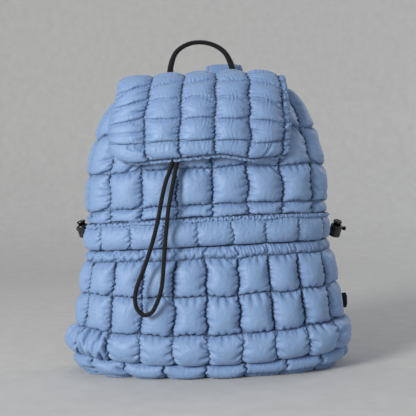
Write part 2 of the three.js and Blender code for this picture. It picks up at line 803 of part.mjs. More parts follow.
// Handle: webbing rolled to a grip, with flat feet on the back
function grabHandle() {
  const middleX = (handleLeft + handleRight) / 2;
  const halfSpan = (handleRight - handleLeft) / 2;
  const points = handleLine.map(({ side, rise, back }) => {
    const x = middleX + side * halfSpan;
    const y = backFace(x, bodyHeight) + handleFootThickness / 2 + back * handleBack;
    return new THREE.Vector3(x, y, bodyHeight + rise * handleRise + slump * x);
  });
  const curve = new THREE.CatmullRomCurve3(points, false, 'centripetal');
  const stations = framesAlong(curve.getPoints(28), new THREE.Vector3(0, 1, 0), (share) => {
    const rolled = Math.sin(Math.PI * share) ** 0.7;
    const depth = THREE.MathUtils.lerp(handleFootThickness, handleWidth, rolled);
    return flatOutline(depth, THREE.MathUtils.lerp(handleFootWidth, handleThickness, rolled));
  });
  return namedMesh('grab_handle', sweptSolid(stations), blackWebbing);
}

// Shoulder strap: padded, from the upper back in a bow down to its buckle
function strapCurve(name) {
  const hand = name === 'right' ? 1 : -1;
  const points = strapLines[name].map(({ side, back, height }) => {
    const x = hand * side * strapSpread;
    const z = height * bodyHeight;
    const y = backFace(x, z) + strapThickness / 2 + back * strapBow;
    return new THREE.Vector3(x, y, z + slump * x);
  });
  return new THREE.CatmullRomCurve3(points, false, 'centripetal');
}

function shoulderStrap(name) {
  const stations = framesAlong(strapCurve(name).getPoints(22), new THREE.Vector3(1, 0, 0), (share) => {
    const lower = share ** 4;
    return flatOutline(strapWidth * (1 - strapTaper * lower), strapThickness * (1 - strapThinning * lower));
  });
  return namedMesh(`shoulder_strap_${name}`, sweptSolid(stations), blueNylon);
}

// Place and directions at the lower end of a strap
function strapEnd(name) {
  const curve = strapCurve(name);
  const place = curve.getPointAt(1);
  const along = curve.getTangentAt(1);
  const side = new THREE.Vector3(1, 0, 0).addScaledVector(along, -along.x).normalize();
  return { place, along, side, out: along.clone().cross(side) };
}

// Buckle: a flat plate with two slots, just under the strap's end
function strapAdjuster(name) {
  const plate = new THREE.Shape();
  const [w, l] = [adjusterWidth / 2, adjusterLength / 2];
  const corner = adjusterCorner;
  plate.moveTo(-w + corner, -l).lineTo(w - corner, -l).lineTo(w, -l + corner);
  plate.lineTo(w, l - corner).lineTo(w - corner, l).lineTo(-w + corner, l);
  plate.lineTo(-w, l - corner).lineTo(-w, -l + corner).closePath();
  for (const middle of [-l / 2, l / 2]) {
    const slot = new THREE.Path();
    const half = webbingWidth / 2 + 1;
    slot.moveTo(-half, middle - adjusterSlot / 2).lineTo(-half, middle + adjusterSlot / 2);
    slot.lineTo(half, middle + adjusterSlot / 2).lineTo(half, middle - adjusterSlot / 2).closePath();
    plate.holes.push(slot);
  }
  const geometry = new THREE.ExtrudeGeometry(plate, { depth: adjusterThickness, bevelEnabled: false });
  geometry.translate(0, 0, -adjusterThickness / 2);
  const mesh = namedMesh(`strap_adjuster_${name}`, geometry, blackPlastic);
  const { place, along, side, out } = strapEnd(name);
  mesh.quaternion.setFromRotationMatrix(new THREE.Matrix4().makeBasis(side, along, out.negate()));
  mesh.position.copy(place).addScaledVector(along, adjusterLength / 2 + seatGap);
  return mesh;
}

// Where an anchor tab leaves its side seam, and its tip
function anchorEnds(name) {
  const hand = name === 'right' ? 1 : -1;
  const root = pocketSurface(hand * pocketAngle(pocketArc.seam), anchorLevel);
  root.y += anchorThickness / 2 + 2 * seatGap;
  const reach = anchorReach[name];
  const tip = root.clone().add(new THREE.Vector3(hand * reach.out, reach.back, 0));
  return { root, tip, along: tip.clone().sub(root).normalize() };
}

// Anchor: a tapered webbing tab in the side seam
function strapAnchor(name) {
  const { root, tip, along } = anchorEnds(name);
  const up = new THREE.Vector3(0, 0, 1);
  const thin = along.clone().cross(up);
  const station = (middle, height) => ({
    middle, side: up, up: thin,
    outline: [[-height / 2, -anchorThickness / 2], [height / 2, -anchorThickness / 2],
      [height / 2, anchorThickness / 2], [-height / 2, anchorThickness / 2]],
  });
  return namedMesh(`strap_anchor_${name}`, sweptSolid([
    station(root, anchorSeamHeight), station(tip, anchorTipHeight),
  ]), blackWebbing);
}

// Webbing between the buckle and the anchor
function strapWebbing(name) {
  const hand = name === 'right' ? 1 : -1;
  const { place, along } = strapEnd(name);
  const start = place.clone().addScaledVector(along, adjusterLength + 2 * seatGap);
  const { root, tip, along: outward } = anchorEnds(name);
  const behind = new THREE.Vector3(0, 0, 1).cross(outward).multiplyScalar(hand);
  behind.multiplyScalar((anchorThickness + webbingThickness) / 2 + seatGap);
  const middle = root.clone().lerp(tip, webbingOnTab).addScaledVector(behind, 2.2);
  const end = tip.clone().add(behind);
  const bow = start.clone().lerp(middle, 0.5).add(new THREE.Vector3(...webbingSag));
  const lower = start.clone().addScaledVector(along, webbingWidth * 0.6);
  const curve = new THREE.CatmullRomCurve3([start, lower, bow, middle, end], false, 'centripetal');
  const stations = framesAlong(curve.getPoints(12), new THREE.Vector3(0, 0, 1), () => {
    const [w, t] = [webbingWidth / 2, webbingThickness / 2];
    return [[-w, -t], [w, -t], [w, t], [-w, t]];
  });
  return namedMesh(`strap_webbing_${name}`, sweptSolid(stations), blackWebbing);
}

// Solid for joining and cutting, from a closed geometry
function solidOf(geometry) {
  const bare = geometry.clone();
  bare.deleteAttribute('normal');
  bare.deleteAttribute('uv');
  const merged = mergeVertices(bare, 1e-4);
  return new wasm.Manifold(new wasm.Mesh({
    numProp: 3,
    vertProperties: new Float32Array(merged.attributes.position.array),
    triVerts: new Uint32Array(merged.index.array),
  }));
}

function geometryOf(solid) {
  const mesh = solid.getMesh();
  const geometry = new THREE.BufferGeometry();
  geometry.setAttribute('position', new THREE.Float32BufferAttribute(mesh.vertProperties, 3));
  geometry.setIndex([...mesh.triVerts]);
  geometry.computeVertexNormals();
  return geometry;
}

function turned(profile, sides) {
  return new THREE.LatheGeometry(profile.map(([radius, y]) => new THREE.Vector2(radius, y)), sides);
}

// Heights in a cord lock, measured from the middle of the cord that runs through it
const holeRadius = lockCordDiameter / 2 + plungerClearance;
const stemBottom = -holeRadius - plungerWeb;
const wellBottom = stemBottom - plungerTravel - plungerClearance;
const barrelBottom = wellBottom - barrelBase;
const headBottom = barrelAbove + plungerTravel + plungerClearance;
const headTop = headBottom + plungerHead;

// Barrel of a cord lock: a cup with a cross hole for the cord
function lockBarrel(name) {
  const well = plungerRadius + plungerClearance;
  const cup = turned([
    [0, barrelBottom], [barrelRadius - barrelBevel, barrelBottom],
    [barrelRadius, barrelBottom + barrelBevel], [barrelRadius, barrelAbove - barrelBevel],
    [barrelRadius - barrelBevel, barrelAbove], [well, barrelAbove], [well, wellBottom], [0, wellBottom],
  ], 12);
  const hole = new THREE.CylinderGeometry(holeRadius, holeRadius, 4 * barrelRadius, 8);
  hole.rotateX(Math.PI / 2);
  return namedMesh(`lock_barrel_${name}`, geometryOf(solidOf(cup).subtract(solidOf(hole))), blackPlastic);
}

// Plunger of a cord lock: a stem with a slot that frees the cord when it is pressed
function lockPlunger(name) {
  const stem = turned([
    [0, stemBottom], [plungerRadius, stemBottom], [plungerRadius, headBottom],
    [plungerHeadRadius, headBottom], [plungerHeadRadius, headTop - barrelBevel],
    [plungerHeadRadius - barrelBevel, headTop], [0, headTop],
  ], 12);
  const slotHeight = 2 * holeRadius + plungerTravel;
  const slot = new THREE.BoxGeometry(2 * holeRadius, slotHeight, 4 * barrelRadius);
  slot.translate(0, slotHeight / 2 - holeRadius, 0);
  const cut = geometryOf(solidOf(stem).subtract(solidOf(slot)));
  return namedMesh(`lock_plunger_${name}`, cut, blackPlastic);
}

// Short cord out of the band's end and through the lock
function lockCord(name) {
  const length = lockStandOff - seatGap + barrelRadius + lockCordTail;
  const radius = lockCordDiameter / 2;
  const cord = new THREE.CylinderGeometry(radius, radius, length, 8);
  cord.rotateX(Math.PI / 2);
  cord.translate(0, 0, length / 2 - lockStandOff + seatGap);
  return namedMesh(`lock_cord_${name}`, cord, blackCord);
}

// Cord lock at one end of the band, its own Y axis along the barrel and its Z axis along the cord
function sideLock(name) {
  const hand = name === 'right' ? 1 : -1;
  const { rise, lean, turn } = lockPlaces[name];
  const angle = pocketAngle(bandEndArc);
  const end = bandSurface(hand * angle, bandBottom + rise * bandHeight);
  const outward = new THREE.Vector3(hand, 0, 0);
  const group = new THREE.Group();
  const cordDirection = new THREE.Vector3(hand * Math.sin(turn), Math.cos(turn), 0);
  const barrelAxis = new THREE.Vector3(0, 0, Math.cos(lean)).addScaledVector(
    new THREE.Vector3(cordDirection.y * hand, -cordDirection.x * hand, 0), Math.sin(lean),
  );
  const across = barrelAxis.clone().cross(cordDirection);
  group.quaternion.setFromRotationMatrix(
    new THREE.Matrix4().makeBasis(across, barrelAxis, cordDirection),
  );
  group.position.copy(end).addScaledVector(outward, bandPuff * 0.2);
  group.position.addScaledVector(cordDirection, lockStandOff);
  group.add(lockBarrel(name), lockPlunger(name), lockCord(name));
  return group;
}

// Hidden stopper on the drawcord, under the flap
function mouthCordLock() {
  const first = new THREE.Vector3(...cordRoute[0]);
  const last = new THREE.Vector3(...cordRoute.at(-1));
  const place = first.lerp(last, 0.5);
  const [w, h] = [hiddenLockWidth / 2, hiddenLockHeight / 2];
  const corner = hiddenLockCorner;
  const outline = new THREE.Shape();
  outline.moveTo(-w + corner, -h).lineTo(w - corner, -h).lineTo(w, -h + corner);
  outline.lineTo(w, h - corner).lineTo(w - corner, h).lineTo(-w + corner, h);
  outline.lineTo(-w, h - corner).lineTo(-w, -h + corner).closePath();
  const block = new THREE.ExtrudeGeometry(outline, { depth: hiddenLockDepth, bevelEnabled: false });
  block.rotateX(Math.PI / 2);
  const mesh = namedMesh('mouth_cord_lock', block, blackPlastic);
  mesh.position.copy(place).add(new THREE.Vector3(0, hiddenLockDepth + seatGap, 0));
  return mesh;
}

// Drawcord: one loop that comes out under the flap and hangs in front
function drawcord() {
  const route = cordRoute.map((point) => new THREE.Vector3(...point));
  const curve = new THREE.CatmullRomCurve3(route, false, 'centripetal');
  const section = new THREE.Shape();
  section.absarc(0, 0, cordDiameter / 2, 0, 2 * Math.PI);
  const tube = new THREE.ExtrudeGeometry(section, {
    steps: 60, curveSegments: 4, extrudePath: curve, bevelEnabled: false,
  });
  return namedMesh('drawcord', tube, blackCord);
}

const wasm = await Module();
wasm.setup();

const bag = new THREE.Group();
bag.add(basePanel(), bodyWrap(), backPanel(), pocketWrap(), pocketBand(), mouthCollar(), flap());
bag.add(grabHandle(), mouthCordLock(), drawcord());
for (const name of ['left', 'right']) {
  bag.add(shoulderStrap(name), strapAdjuster(name), strapWebbing(name), strapAnchor(name));
  bag.add(sideLock(name));
}

export default bag;
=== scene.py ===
"""Looks of a quilted puffer backpack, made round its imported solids.

Metres, +Z up, the flap and the drawcord towards -Y. The padded cloth is laid out on the same seam
surfaces as the solids, settled as cloth between its seams, and given stitched and woven finishes.
"""

import logging
import math
from dataclasses import dataclass, field
from enum import Enum
from typing import Callable

import bpy
import numpy as np
from mathutils import Matrix, Vector

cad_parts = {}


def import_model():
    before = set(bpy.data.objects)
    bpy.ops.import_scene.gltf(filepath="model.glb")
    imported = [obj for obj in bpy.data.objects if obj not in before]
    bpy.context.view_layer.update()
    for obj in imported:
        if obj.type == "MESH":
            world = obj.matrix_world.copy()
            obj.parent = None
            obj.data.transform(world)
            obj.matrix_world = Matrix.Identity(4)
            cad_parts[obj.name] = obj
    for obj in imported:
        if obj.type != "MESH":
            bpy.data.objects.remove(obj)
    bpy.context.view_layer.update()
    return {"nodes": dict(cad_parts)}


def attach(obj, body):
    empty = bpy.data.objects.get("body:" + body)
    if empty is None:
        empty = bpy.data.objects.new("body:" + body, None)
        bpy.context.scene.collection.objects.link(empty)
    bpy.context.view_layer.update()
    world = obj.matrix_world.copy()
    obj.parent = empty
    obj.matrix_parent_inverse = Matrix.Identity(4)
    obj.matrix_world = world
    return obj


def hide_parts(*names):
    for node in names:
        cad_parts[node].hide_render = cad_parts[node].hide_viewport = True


LOG = logging.getLogger("backpack")
BAG = "bag"
Points = np.ndarray
Surface = Callable[[np.ndarray, np.ndarray], Points]
Table = tuple[tuple[float, ...], ...]

FULL_TURN = 2 * math.pi
# Ends of the spans that random phases and rates are drawn from
PHASES = (0, 6.28)
RIPPLE_RATES = (0.55, 1.5)
SWELL_RATES = (0.6, 1.4)
CURVE_CUTS = 24
NO_ZERO = 1e-12
TINY = 1e-9
# Share of a stitch's length, then its rise and its size there as shares of the thread's radius
STITCH_RINGS: Table = ((0, -0.4, 0.45), (0.2, 0.5, 0.95), (0.5, 0.8, 1.0), (0.8, 0.5, 0.95), (1, -0.4, 0.45))
STITCH_SIDES = 5
STITCH_SPAN = np.array([0.12, 0.88])
THREAD_RADIUS = 0.00035
# A dome over a box is longer than the box by this times the square of its height over its width
DOME_EXCESS = 2.67
# Distance to a seam that is given where there is none
NO_SEAM_NEAR = 0.03
# Powers that shape the edges and faces of flat webbing
WEBBING_POWERS = (0.45, 0.7)
MM_PER_M = 1000
TURNED_SIDES = 96
FLUTES = 24
# Heights that keep two close surfaces from flickering, and the least height over the floor
SKIN = 0.0001
FLOOR_SKIN = 0.0003


class Hand(Enum):
    """The side of the bag, as seen from the front."""

    LEFT = -1
    RIGHT = 1

    @property
    def word(self) -> str:
        """The side's name as the solids have it."""
        return self.name.lower()


class Slot(Enum):
    """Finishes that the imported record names."""

    NYLON = "quilted_nylon"
    LINING = "lining_nylon"
    WEBBING = "black_webbing"
    PLASTIC = "black_plastic"
    CORD = "black_cord"


class Draw(Enum):
    """Number added to a quilt's seed for each of its uses."""

    FIRST_SWELL = 3
    BESIDE_COLUMNS = 71
    BESIDE_ROWS = 73
    GATHERS = 79


# Numbers and curves


def ripple(places: np.ndarray, pitch: float, seed: int, waves: int = 6) -> np.ndarray:
    """Uneven smooth waves along a line, the same on each run.

    Args:
        places: Lengths along the line.
        pitch: Usual length of a wave.
        seed: Number of this set of waves.
        waves: How many waves are laid over each other.

    Returns:
        Values of about -1 to 1.
    """
    rng = np.random.default_rng(seed)
    total = np.zeros(np.shape(places))
    for _ in range(waves):
        rate = FULL_TURN / pitch * rng.uniform(*RIPPLE_RATES)
        total = total + np.sin(rate * places + rng.uniform(0, FULL_TURN))
    return total / math.sqrt(waves)


def swell(across: np.ndarray, along: np.ndarray, pitch: float, seed: int, waves: int = 9) -> np.ndarray:
    """Uneven smooth hills over a surface, the same on each run.

    Args:
        across: Lengths across the surface.
        along: Lengths along it.
        pitch: Usual distance between hills.
        seed: Number of this set of hills.
        waves: How many waves are laid over each other.

    Returns:
        Values of about -1 to 1.
    """
    rng = np.random.default_rng(seed)
    total = np.zeros(np.broadcast(across, along).shape)
    for _ in range(waves):
        rate = FULL_TURN / pitch * rng.uniform(*SWELL_RATES)
        turn = rng.uniform(0, math.pi)
        place = across * math.cos(turn) + along * math.sin(turn)
        total = total + np.sin(rate * place + rng.uniform(*PHASES))
    return total / math.sqrt(waves)


def smooth_curve(knots: Points, step: float) -> Points:
    """Points of one smooth curve through knots, evenly spaced.

    Args:
        knots: Points that the curve passes, in order.
        step: Distance between the points returned.

    Returns:
        Points along the curve.
    """
    knots = np.asarray(knots, float)
    ends = np.vstack([2 * knots[0] - knots[1], knots, 2 * knots[-1] - knots[-2]])
    times = np.concatenate([[0], np.cumsum(np.sqrt(np.linalg.norm(np.diff(ends, axis=0), axis=1)))])
    dense = []
    for place in range(1, len(ends) - 2):
        p, t = ends[place - 1 : place + 3], times[place - 1 : place + 3]
        at = np.linspace(t[1], t[2], CURVE_CUTS + 1)[:-1, None]
        first = [
            ((t[k + 1] - at) * p[k] + (at - t[k]) * p[k + 1]) / (t[k + 1] - t[k]) for k in range(3)
        ]
        second = [
            ((t[k + 2] - at) * first[k] + (at - t[k]) * first[k + 1]) / (t[k + 2] - t[k]) for k in range(2)
        ]
        dense.append(((t[2] - at) * second[0] + (at - t[1]) * second[1]) / (t[2] - t[1]))
    dense = np.vstack([*dense, knots[-1:]])
    lengths = path_lengths(dense)
    count = max(2, int(round(lengths[-1] / step)) + 1)
    return along_path(dense, np.linspace(0, lengths[-1], count))


def path_lengths(path: Points) -> np.ndarray:
    """Length from the start to each point of a path."""
    return np.concatenate([[0], np.cumsum(np.linalg.norm(np.diff(path, axis=0), axis=1))])


def along_path(path: Points, lengths: np.ndarray) -> Points:
    """Points of a path at given lengths from its start."""
    known = path_lengths(path)
    return np.stack([np.interp(lengths, known, path[:, axis]) for axis in range(3)], axis=-1)


def unit(vectors: Points) -> Points:
    """Vectors of length one in the same directions."""
    return vectors / (np.linalg.norm(vectors, axis=-1, keepdims=True) + NO_ZERO)


def frames_along(path: Points, side_hint: Points) -> tuple[Points, Points, Points]:
    """Directions along a path, whose side stays as near as it can to a given direction.

    Args:
        path: Points of the path.
        side_hint: Direction that the side keeps to.

    Returns:
        The path's own direction, its side and its upper direction at each point.
    """
    along = unit(np.gradient(path, axis=0))
    hint = np.broadcast_to(np.asarray(side_hint, float), path.shape)
    side = unit(hint - (hint * along).sum(1, keepdims=True) * along)
    return along, side, np.cross(along, side)


def grid_normals(points: Points) -> Points:
    """Outward directions of a grid of points, first index across and second up."""
    return unit(np.cross(np.gradient(points, axis=0), np.gradient(points, axis=1)))


def doubled(grid: np.ndarray, axis: int) -> np.ndarray:
    """A grid with one more value between each two along an axis, on a smooth curve.

    Args:
        grid: Values to refine.
        axis: Direction that gets more values.

    Returns:
        The finer grid.
    """
    grid = np.moveaxis(grid, axis, 0)
    before = np.concatenate([2 * grid[:1] - grid[1:2], grid[:-2]])
    after = np.concatenate([grid[2:], 2 * grid[-1:] - grid[-2:-1]])
    middle = (9 * (grid[:-1] + grid[1:]) - before - after) / 16
    fine = np.empty((2 * len(grid) - 1, *grid.shape[1:]))
    fine[0::2] = grid
    fine[1::2] = middle
    return np.moveaxis(fine, 0, axis)


# Meshes


def make_piece(name: str, points: Points, faces: list, **marks: np.ndarray) -> bpy.types.Object:
    """A smooth mesh object in the scene.

    Args:
        name: Name of the piece.
        points: Its vertices.
        faces: Its faces, as lists of vertex numbers.
        marks: Values for each vertex that the finishes read: weave is a pair, others are numbers.

    Returns:
        The new object.
    """
    mesh = bpy.data.meshes.new(name)
    mesh.from_pydata(np.asarray(points, float).tolist(), [], faces)
    mesh.polygons.foreach_set("use_smooth", np.ones(len(mesh.polygons), bool))
    for mark, values in marks.items():
        if mark == "weave":
            corners = np.empty(len(mesh.loops), np.int32)
            mesh.loops.foreach_get("vertex_index", corners)
            layer = mesh.uv_layers.new(name="weave")
            layer.data.foreach_set("uv", np.asarray(values, np.float32)[corners].ravel())
        else:
            layer = mesh.attributes.new(mark, "FLOAT", "POINT")
            layer.data.foreach_set("value", np.asarray(values, np.float32))
    mesh.update()
    piece = bpy.data.objects.new(name, mesh)
    bpy.context.scene.collection.objects.link(piece)
    return piece


def grid_faces(columns: int, rows: int, start: int = 0) -> list:
    """Quads of a grid of vertices, numbered column by column.

    Args:
        columns: Vertices across.
        rows: Vertices up.
        start: Number of the first vertex.

    Returns:
        The faces, facing out.
    """
    first = np.arange(columns - 1)[:, None] * rows + np.arange(rows - 1)[None, :]
    second = first + rows
    quads = np.stack([first, second, second + 1, first + 1], axis=-1).reshape(-1, 4) + start
    return quads.tolist()


def ring_faces(rings: int, sides: int) -> list:
    """Quads between rings of vertices, and the faces that close both ends.

    Args:
        rings: How many rings there are.
        sides: Vertices of each ring.

    Returns:
        The faces.
    """
    faces = grid_faces(rings, sides)
    for ring in range(rings - 1):
        first, second = ring * sides, (ring + 1) * sides
        faces.append([second - 1, second + sides - 1, second, first])
    end = rings * sides - 1
    return [*faces, list(range(sides)), list(range(end, end - sides, -1))]


def rounded(angles: np.ndarray, edge_power: float, face_power: float) -> tuple[np.ndarray, np.ndarray]:
    """A soft box of half size one, seen end on.

    Args:
        angles: Angles round it.
        edge_power: Shapes its edges: one is round, less is squarer.
        face_power: Shapes its faces in the same way.

    Returns:
        Lengths along its two axes.
    """
    cosine, sine = np.cos(angles), np.sin(angles)
    across = np.sign(cosine) * np.abs(cosine) ** edge_power
    return across, np.sign(sine) * np.abs(sine) ** face_power


def flat_outline(first: float, last: float, thickness: float) -> Callable:
    """Section of flat webbing with soft edges.

    Args:
        first: Width where it starts.
        last: Width where it ends.
        thickness: Its thickness.

    Returns:
        The outline for a tube.
    """

    def outline(angles: np.ndarray, share: float) -> tuple[np.ndarray, np.ndarray]:
        """Section at a share of the length."""
        across, over = rounded(angles, *WEBBING_POWERS)
        return (first + (last - first) * share) / 2 * across, thickness / 2 * over

    return outline


def lined_mesh(name: str, outer: Points, lining: Points, skip: int, **marks: np.ndarray) -> bpy.types.Object:
    """A closed padded layer: its outer grid, a coarser lining and the rims between them.

    Args:
        name: Name of the piece.
        outer: Grid of the outer face.
        lining: Grid of the lining, every skip-th place of the outer grid.
        skip: Places of the outer grid for each one of the lining.
        marks: Values on the outer grid for the finishes.

    Returns:
        The new object.
    """
    columns, rows = outer.shape[:2]
    wide, high = lining.shape[:2]
    faces = grid_faces(columns, rows)
    start = columns * rows
    faces += [face[::-1] for face in grid_faces(wide, high, start)]

    def out(column: int, row: int) -> int:
        """Number of a vertex of the outer face."""
        return column * rows + row

    def back(column: int, row: int) -> int:
        """Number of a vertex of the lining."""
        return start + column * high + row

    last, top = wide - 1, high - 1
    for column in range(last):
        places = range(column * skip, (column + 1) * skip + 1)
        faces.append([back(column, 0), back(column + 1, 0)] + [out(c, 0) for c in reversed(places)])
        faces.append([back(column + 1, top), back(column, top)] + [out(c, rows - 1) for c in places])
    for row in range(top):
        places = range(row * skip, (row + 1) * skip + 1)
        faces.append([back(0, row + 1), back(0, row)] + [out(0, r) for r in places])
        faces.append([back(last, row), back(last, row + 1)] + [out(columns - 1, r) for r in reversed(places)])
    points = np.vstack([outer.reshape(-1, 3), lining.reshape(-1, 3)])
    full = {}
    for mark, values in marks.items():
        width = values.shape[2:]
        inside = values[::skip, ::skip]
        full[mark] = np.concatenate([values.reshape(-1, *width), inside.reshape(-1, *width)])
    return make_piece(name, points, faces, **full)


def tube_mesh(name: str, path: Points, side_hint: Points, outline: Callable, sides: int) -> bpy.types.Object:
    """A closed tube or strip round a path, with flat ends.

    Args:
        name: Name of the piece.
        path: Points of its middle line.
        side_hint: Direction that the outline's first axis keeps to.
        outline: Gives side and upper lengths from an angle array and a share of the path.
        sides: Points round the outline.

    Returns:
        The new object.
    """
    _, side, up = frames_along(path, side_hint)
    angles = np.linspace(0, FULL_TURN, sides, endpoint=False)
    lengths = path_lengths(path)
    rings, weave = [], []
    count = len(path)
    for place in range(count):
        share = place / (count - 1)
        across, over = outline(angles, share)
        rings.append(path[place] + across[:, None] * side[place] + over[:, None] * up[place])
        girth = np.concatenate([[0], np.cumsum(np.hypot(np.diff(across), np.diff(over)))])
        weave.append(np.stack([girth, np.full(sides, lengths[place])], axis=-1))
    faces = [face[::-1] for face in ring_faces(count, sides)]
    return make_piece(name, np.vstack(rings), faces, weave=np.vstack(weave))


def joined(name: str, parts: list[tuple[Points, list]]) -> bpy.types.Object:
    """One mesh of many small closed parts, such as stitches.

    Args:
        name: Name of the piece.
        parts: Vertices and faces of each part.

    Returns:
        The new object.
    """
    points, faces, start = [], [], 0
    for vertices, polygons in parts:
        points.append(vertices)
        faces += [[corner + start for corner in face] for face in polygons]
        start += len(vertices)
    return make_piece(name, np.vstack(points), faces)


def stitch(start: Points, end: Points, out: Points, radius: float) -> tuple[Points, list]:
    """One stitch of thread lying on the cloth.

    Args:
        start: Where the thread comes up.
        end: Where it goes down.
        out: Direction away from the cloth.
        radius: Of the thread.

    Returns:
        Its vertices and faces.
    """
    along = unit(end - start)
    side = unit(np.cross(along, out))
    rings, faces = [], []
    for share, lift, size in STITCH_RINGS:
        middle = start + share * (end - start) + lift * radius * out
        for turn in range(STITCH_SIDES):
            angle = FULL_TURN * turn / STITCH_SIDES
            rings.append(middle + size * radius * (math.cos(angle) * side + math.sin(angle) * out))
    for ring in range(len(STITCH_RINGS) - 1):
        first, second = STITCH_SIDES * ring, STITCH_SIDES * (ring + 1)
        for turn in range(STITCH_SIDES):
            after = (turn + 1) % STITCH_SIDES
            faces.append([first + turn, second + turn, second + after, first + after])
    last = len(rings) - 1
    ends = [list(range(STITCH_SIDES)), list(range(last, last - STITCH_SIDES, -1))]
    return np.array(rings), faces + ends


def stitch_line(
    path: Points, out: Points, pitch: float, radius: float = THREAD_RADIUS
) -> list[tuple[Points, list]]:
    """Stitches along a path on the cloth.

    Args:
        path: Points of the seam.
        out: Direction away from the cloth at each of them.
        pitch: Length from one stitch to the next.
        radius: Of the thread.

    Returns:
        The stitches.
    """
    lengths = path_lengths(path)
    count = int(lengths[-1] / pitch)
    found = []
    for number in range(count):
        places = (STITCH_SPAN + number) * pitch
        ends = along_path(path, places)
        direction = [np.interp(places.mean(), lengths, out[:, axis]) for axis in range(3)]
        found.append(stitch(ends[0], ends[1], unit(np.array(direction)), radius))
    return found


# Cloth between seams


def edge_sets(shape: tuple[int, int], across: int, along: int) -> list[tuple[tuple, tuple]]:
    """Pairs of slices of a grid that join places a fixed step apart, no place twice in a pair.

    Args:
        shape: Columns and rows of the grid.
        across: Step across.
        along: Step along, which may be negative.

    Returns:
        Slices of the first and of the second ends.
    """
    columns, rows = shape
    reach = abs(along)
    low, high = slice(0, rows - reach), slice(reach, rows)
    ends_v = (low, high) if along >= 0 else (high, low)
    if across:
        stride = 2 * across
        return [
            ((slice(s, columns - across, stride), ends_v[0]), (slice(s + across, columns, stride), ends_v[1]))
            for s in range(stride)
        ]
    stride = 2 * reach
    every = slice(None)
    return [
        ((every, slice(s, rows - reach, stride)), (every, slice(s + reach, rows, stride)))
        for s in range(stride)
    ]


@dataclass
class ClothSettler:
    """Moves a grid of cloth, sewn down at its seams, until it lies as filled cloth does."""

    pressure: float = 0.00020
    weight: float = 0.00003
    damping: float = 0.86
    squeeze: float = 0.35
    stiffness: float = 0.06
    slant_squeeze: float = 0.12
    slant_stretch: float = 0.35
    most_stiffness: float = 0.5
    passes: int = 5
    # On each finer grid the pressure falls and the stiffness grows by these
    pressure_fall: float = 0.4
    bend_growth: float = 1.8
    # Share of the steps after which the cloth is calmed, and by how much
    calm_from: float = 0.8
    calm: float = 0.5
    most_drift: float = 0.008
    most_sunk: float = 0.0006

    def links(self, rest_across: np.ndarray, rest_along: np.ndarray, bending: float) -> list:
        """Edges that keep the cloth's size and resist its bending.

        Args:
            rest_across: Free length of each edge across.
            rest_along: Free length of each edge along.
            bending: Share of each bend that is taken back.

        Returns:
            For each set of edges its two ends, free lengths and the share kept when it is squeezed
            and when it is stretched.
        """
        shape = (rest_across.shape[0] + 1, rest_across.shape[1])
        wide = (rest_across[:, :-1] + rest_across[:, 1:]) / 2
        high = (rest_along[:-1] + rest_along[1:]) / 2
        slant = np.sqrt(wide**2 + high**2)
        kinds = [
            (1, 0, rest_across, self.squeeze, 1.0),
            (0, 1, rest_along, self.squeeze, 1.0),
            (1, 1, slant, self.slant_squeeze, self.slant_stretch),
            (1, -1, slant, self.slant_squeeze, self.slant_stretch),
            (2, 0, rest_across[:-1] + rest_across[1:], bending, 0.0),
            (0, 2, rest_along[:, :-1] + rest_along[:, 1:], bending, 0.0),
        ]
        found = []
        for across, along, rest, squeeze, stretch in kinds:
            for one, two in edge_sets(shape, across, along):
                rows = slice(min(one[1].start or 0, two[1].start or 0), None, one[1].step)
                kept = rest[one[0], rows]
                found.append((one, two, kept, squeeze, stretch))
        return found

    def settle(
        self, points: Points, base: Points, out: Points, sewn: np.ndarray, rest: tuple, top: np.ndarray,
        steps: int, level: int,
    ) -> Points:
        """Lets the cloth fill out and find its creases.

        Args:
            points: Where the cloth starts.
            base: The seam surface under it.
            out: Outward directions of that surface.
            sewn: True where the cloth is sewn down.
            rest: Free lengths of the edges across and along.
            top: Most that each place may stand above the seam surface.
            steps: How many steps it takes.
            level: How many times the first grid was halved.

        Returns:
            Where the cloth lies.
        """
        free = np.where(sewn, 0.0, 1.0)
        links = self.links(*rest, min(self.most_stiffness, self.stiffness * self.bend_growth**level))
        pressure = self.pressure * self.pressure_fall**level
        start, before = points.copy(), points.copy()
        down = np.array([0.0, 0.0, -self.weight])
        for step in range(steps):
            slow = self.damping if step < self.calm_from * steps else self.calm * self.damping
            moved = slow * (points - before)
            before = points.copy()
            push = pressure * grid_normals(points) + down
            points = points + free[..., None] * (moved + push)
            for _ in range(self.passes):
                for one, two, kept, squeeze, stretch in links:
                    span = points[two] - points[one]
                    length = np.sqrt(np.einsum("ijk,ijk->ij", span, span)) + TINY
                    first, second = free[one], free[two]
                    share = np.maximum(first + second, 1.0)
                    fix = (length - kept) / (length * share) * np.where(length > kept, stretch, squeeze)
                    points[one] += span * (fix * first)[..., None]
                    points[two] -= span * (fix * second)[..., None]
            height = np.einsum("ijk,ijk->ij", points - base, out)
            points += out * (np.clip(height, -self.most_sunk, top) - height)[..., None] * free[..., None]
            drift = points - start
            far = np.sqrt(np.einsum("ijk,ijk->ij", drift, drift)) + TINY
            points = start + drift * np.minimum(1.0, self.most_drift / far)[..., None]
        return points


def box_share(places: list[float], cells: list[int]) -> tuple[np.ndarray, np.ndarray, np.ndarray]:
    """Places of a grid line between seams, with the box and the share of it that each lies in.

    Args:
        places: Seams, in order.
        cells: Grid cells in each box.

    Returns:
        Places, box numbers and shares of a box.
    """
    at, box, share = [], [], []
    for number, count in enumerate(cells):
        for cell in range(count):
            part = cell / count
            at.append(places[number] + part * (places[number + 1] - places[number]))
            box.append(number)
            share.append(part)
    at.append(places[-1])
    box.append(len(cells) - 1)
    share.append(1.0)
    return np.array(at), np.array(box), np.array(share)


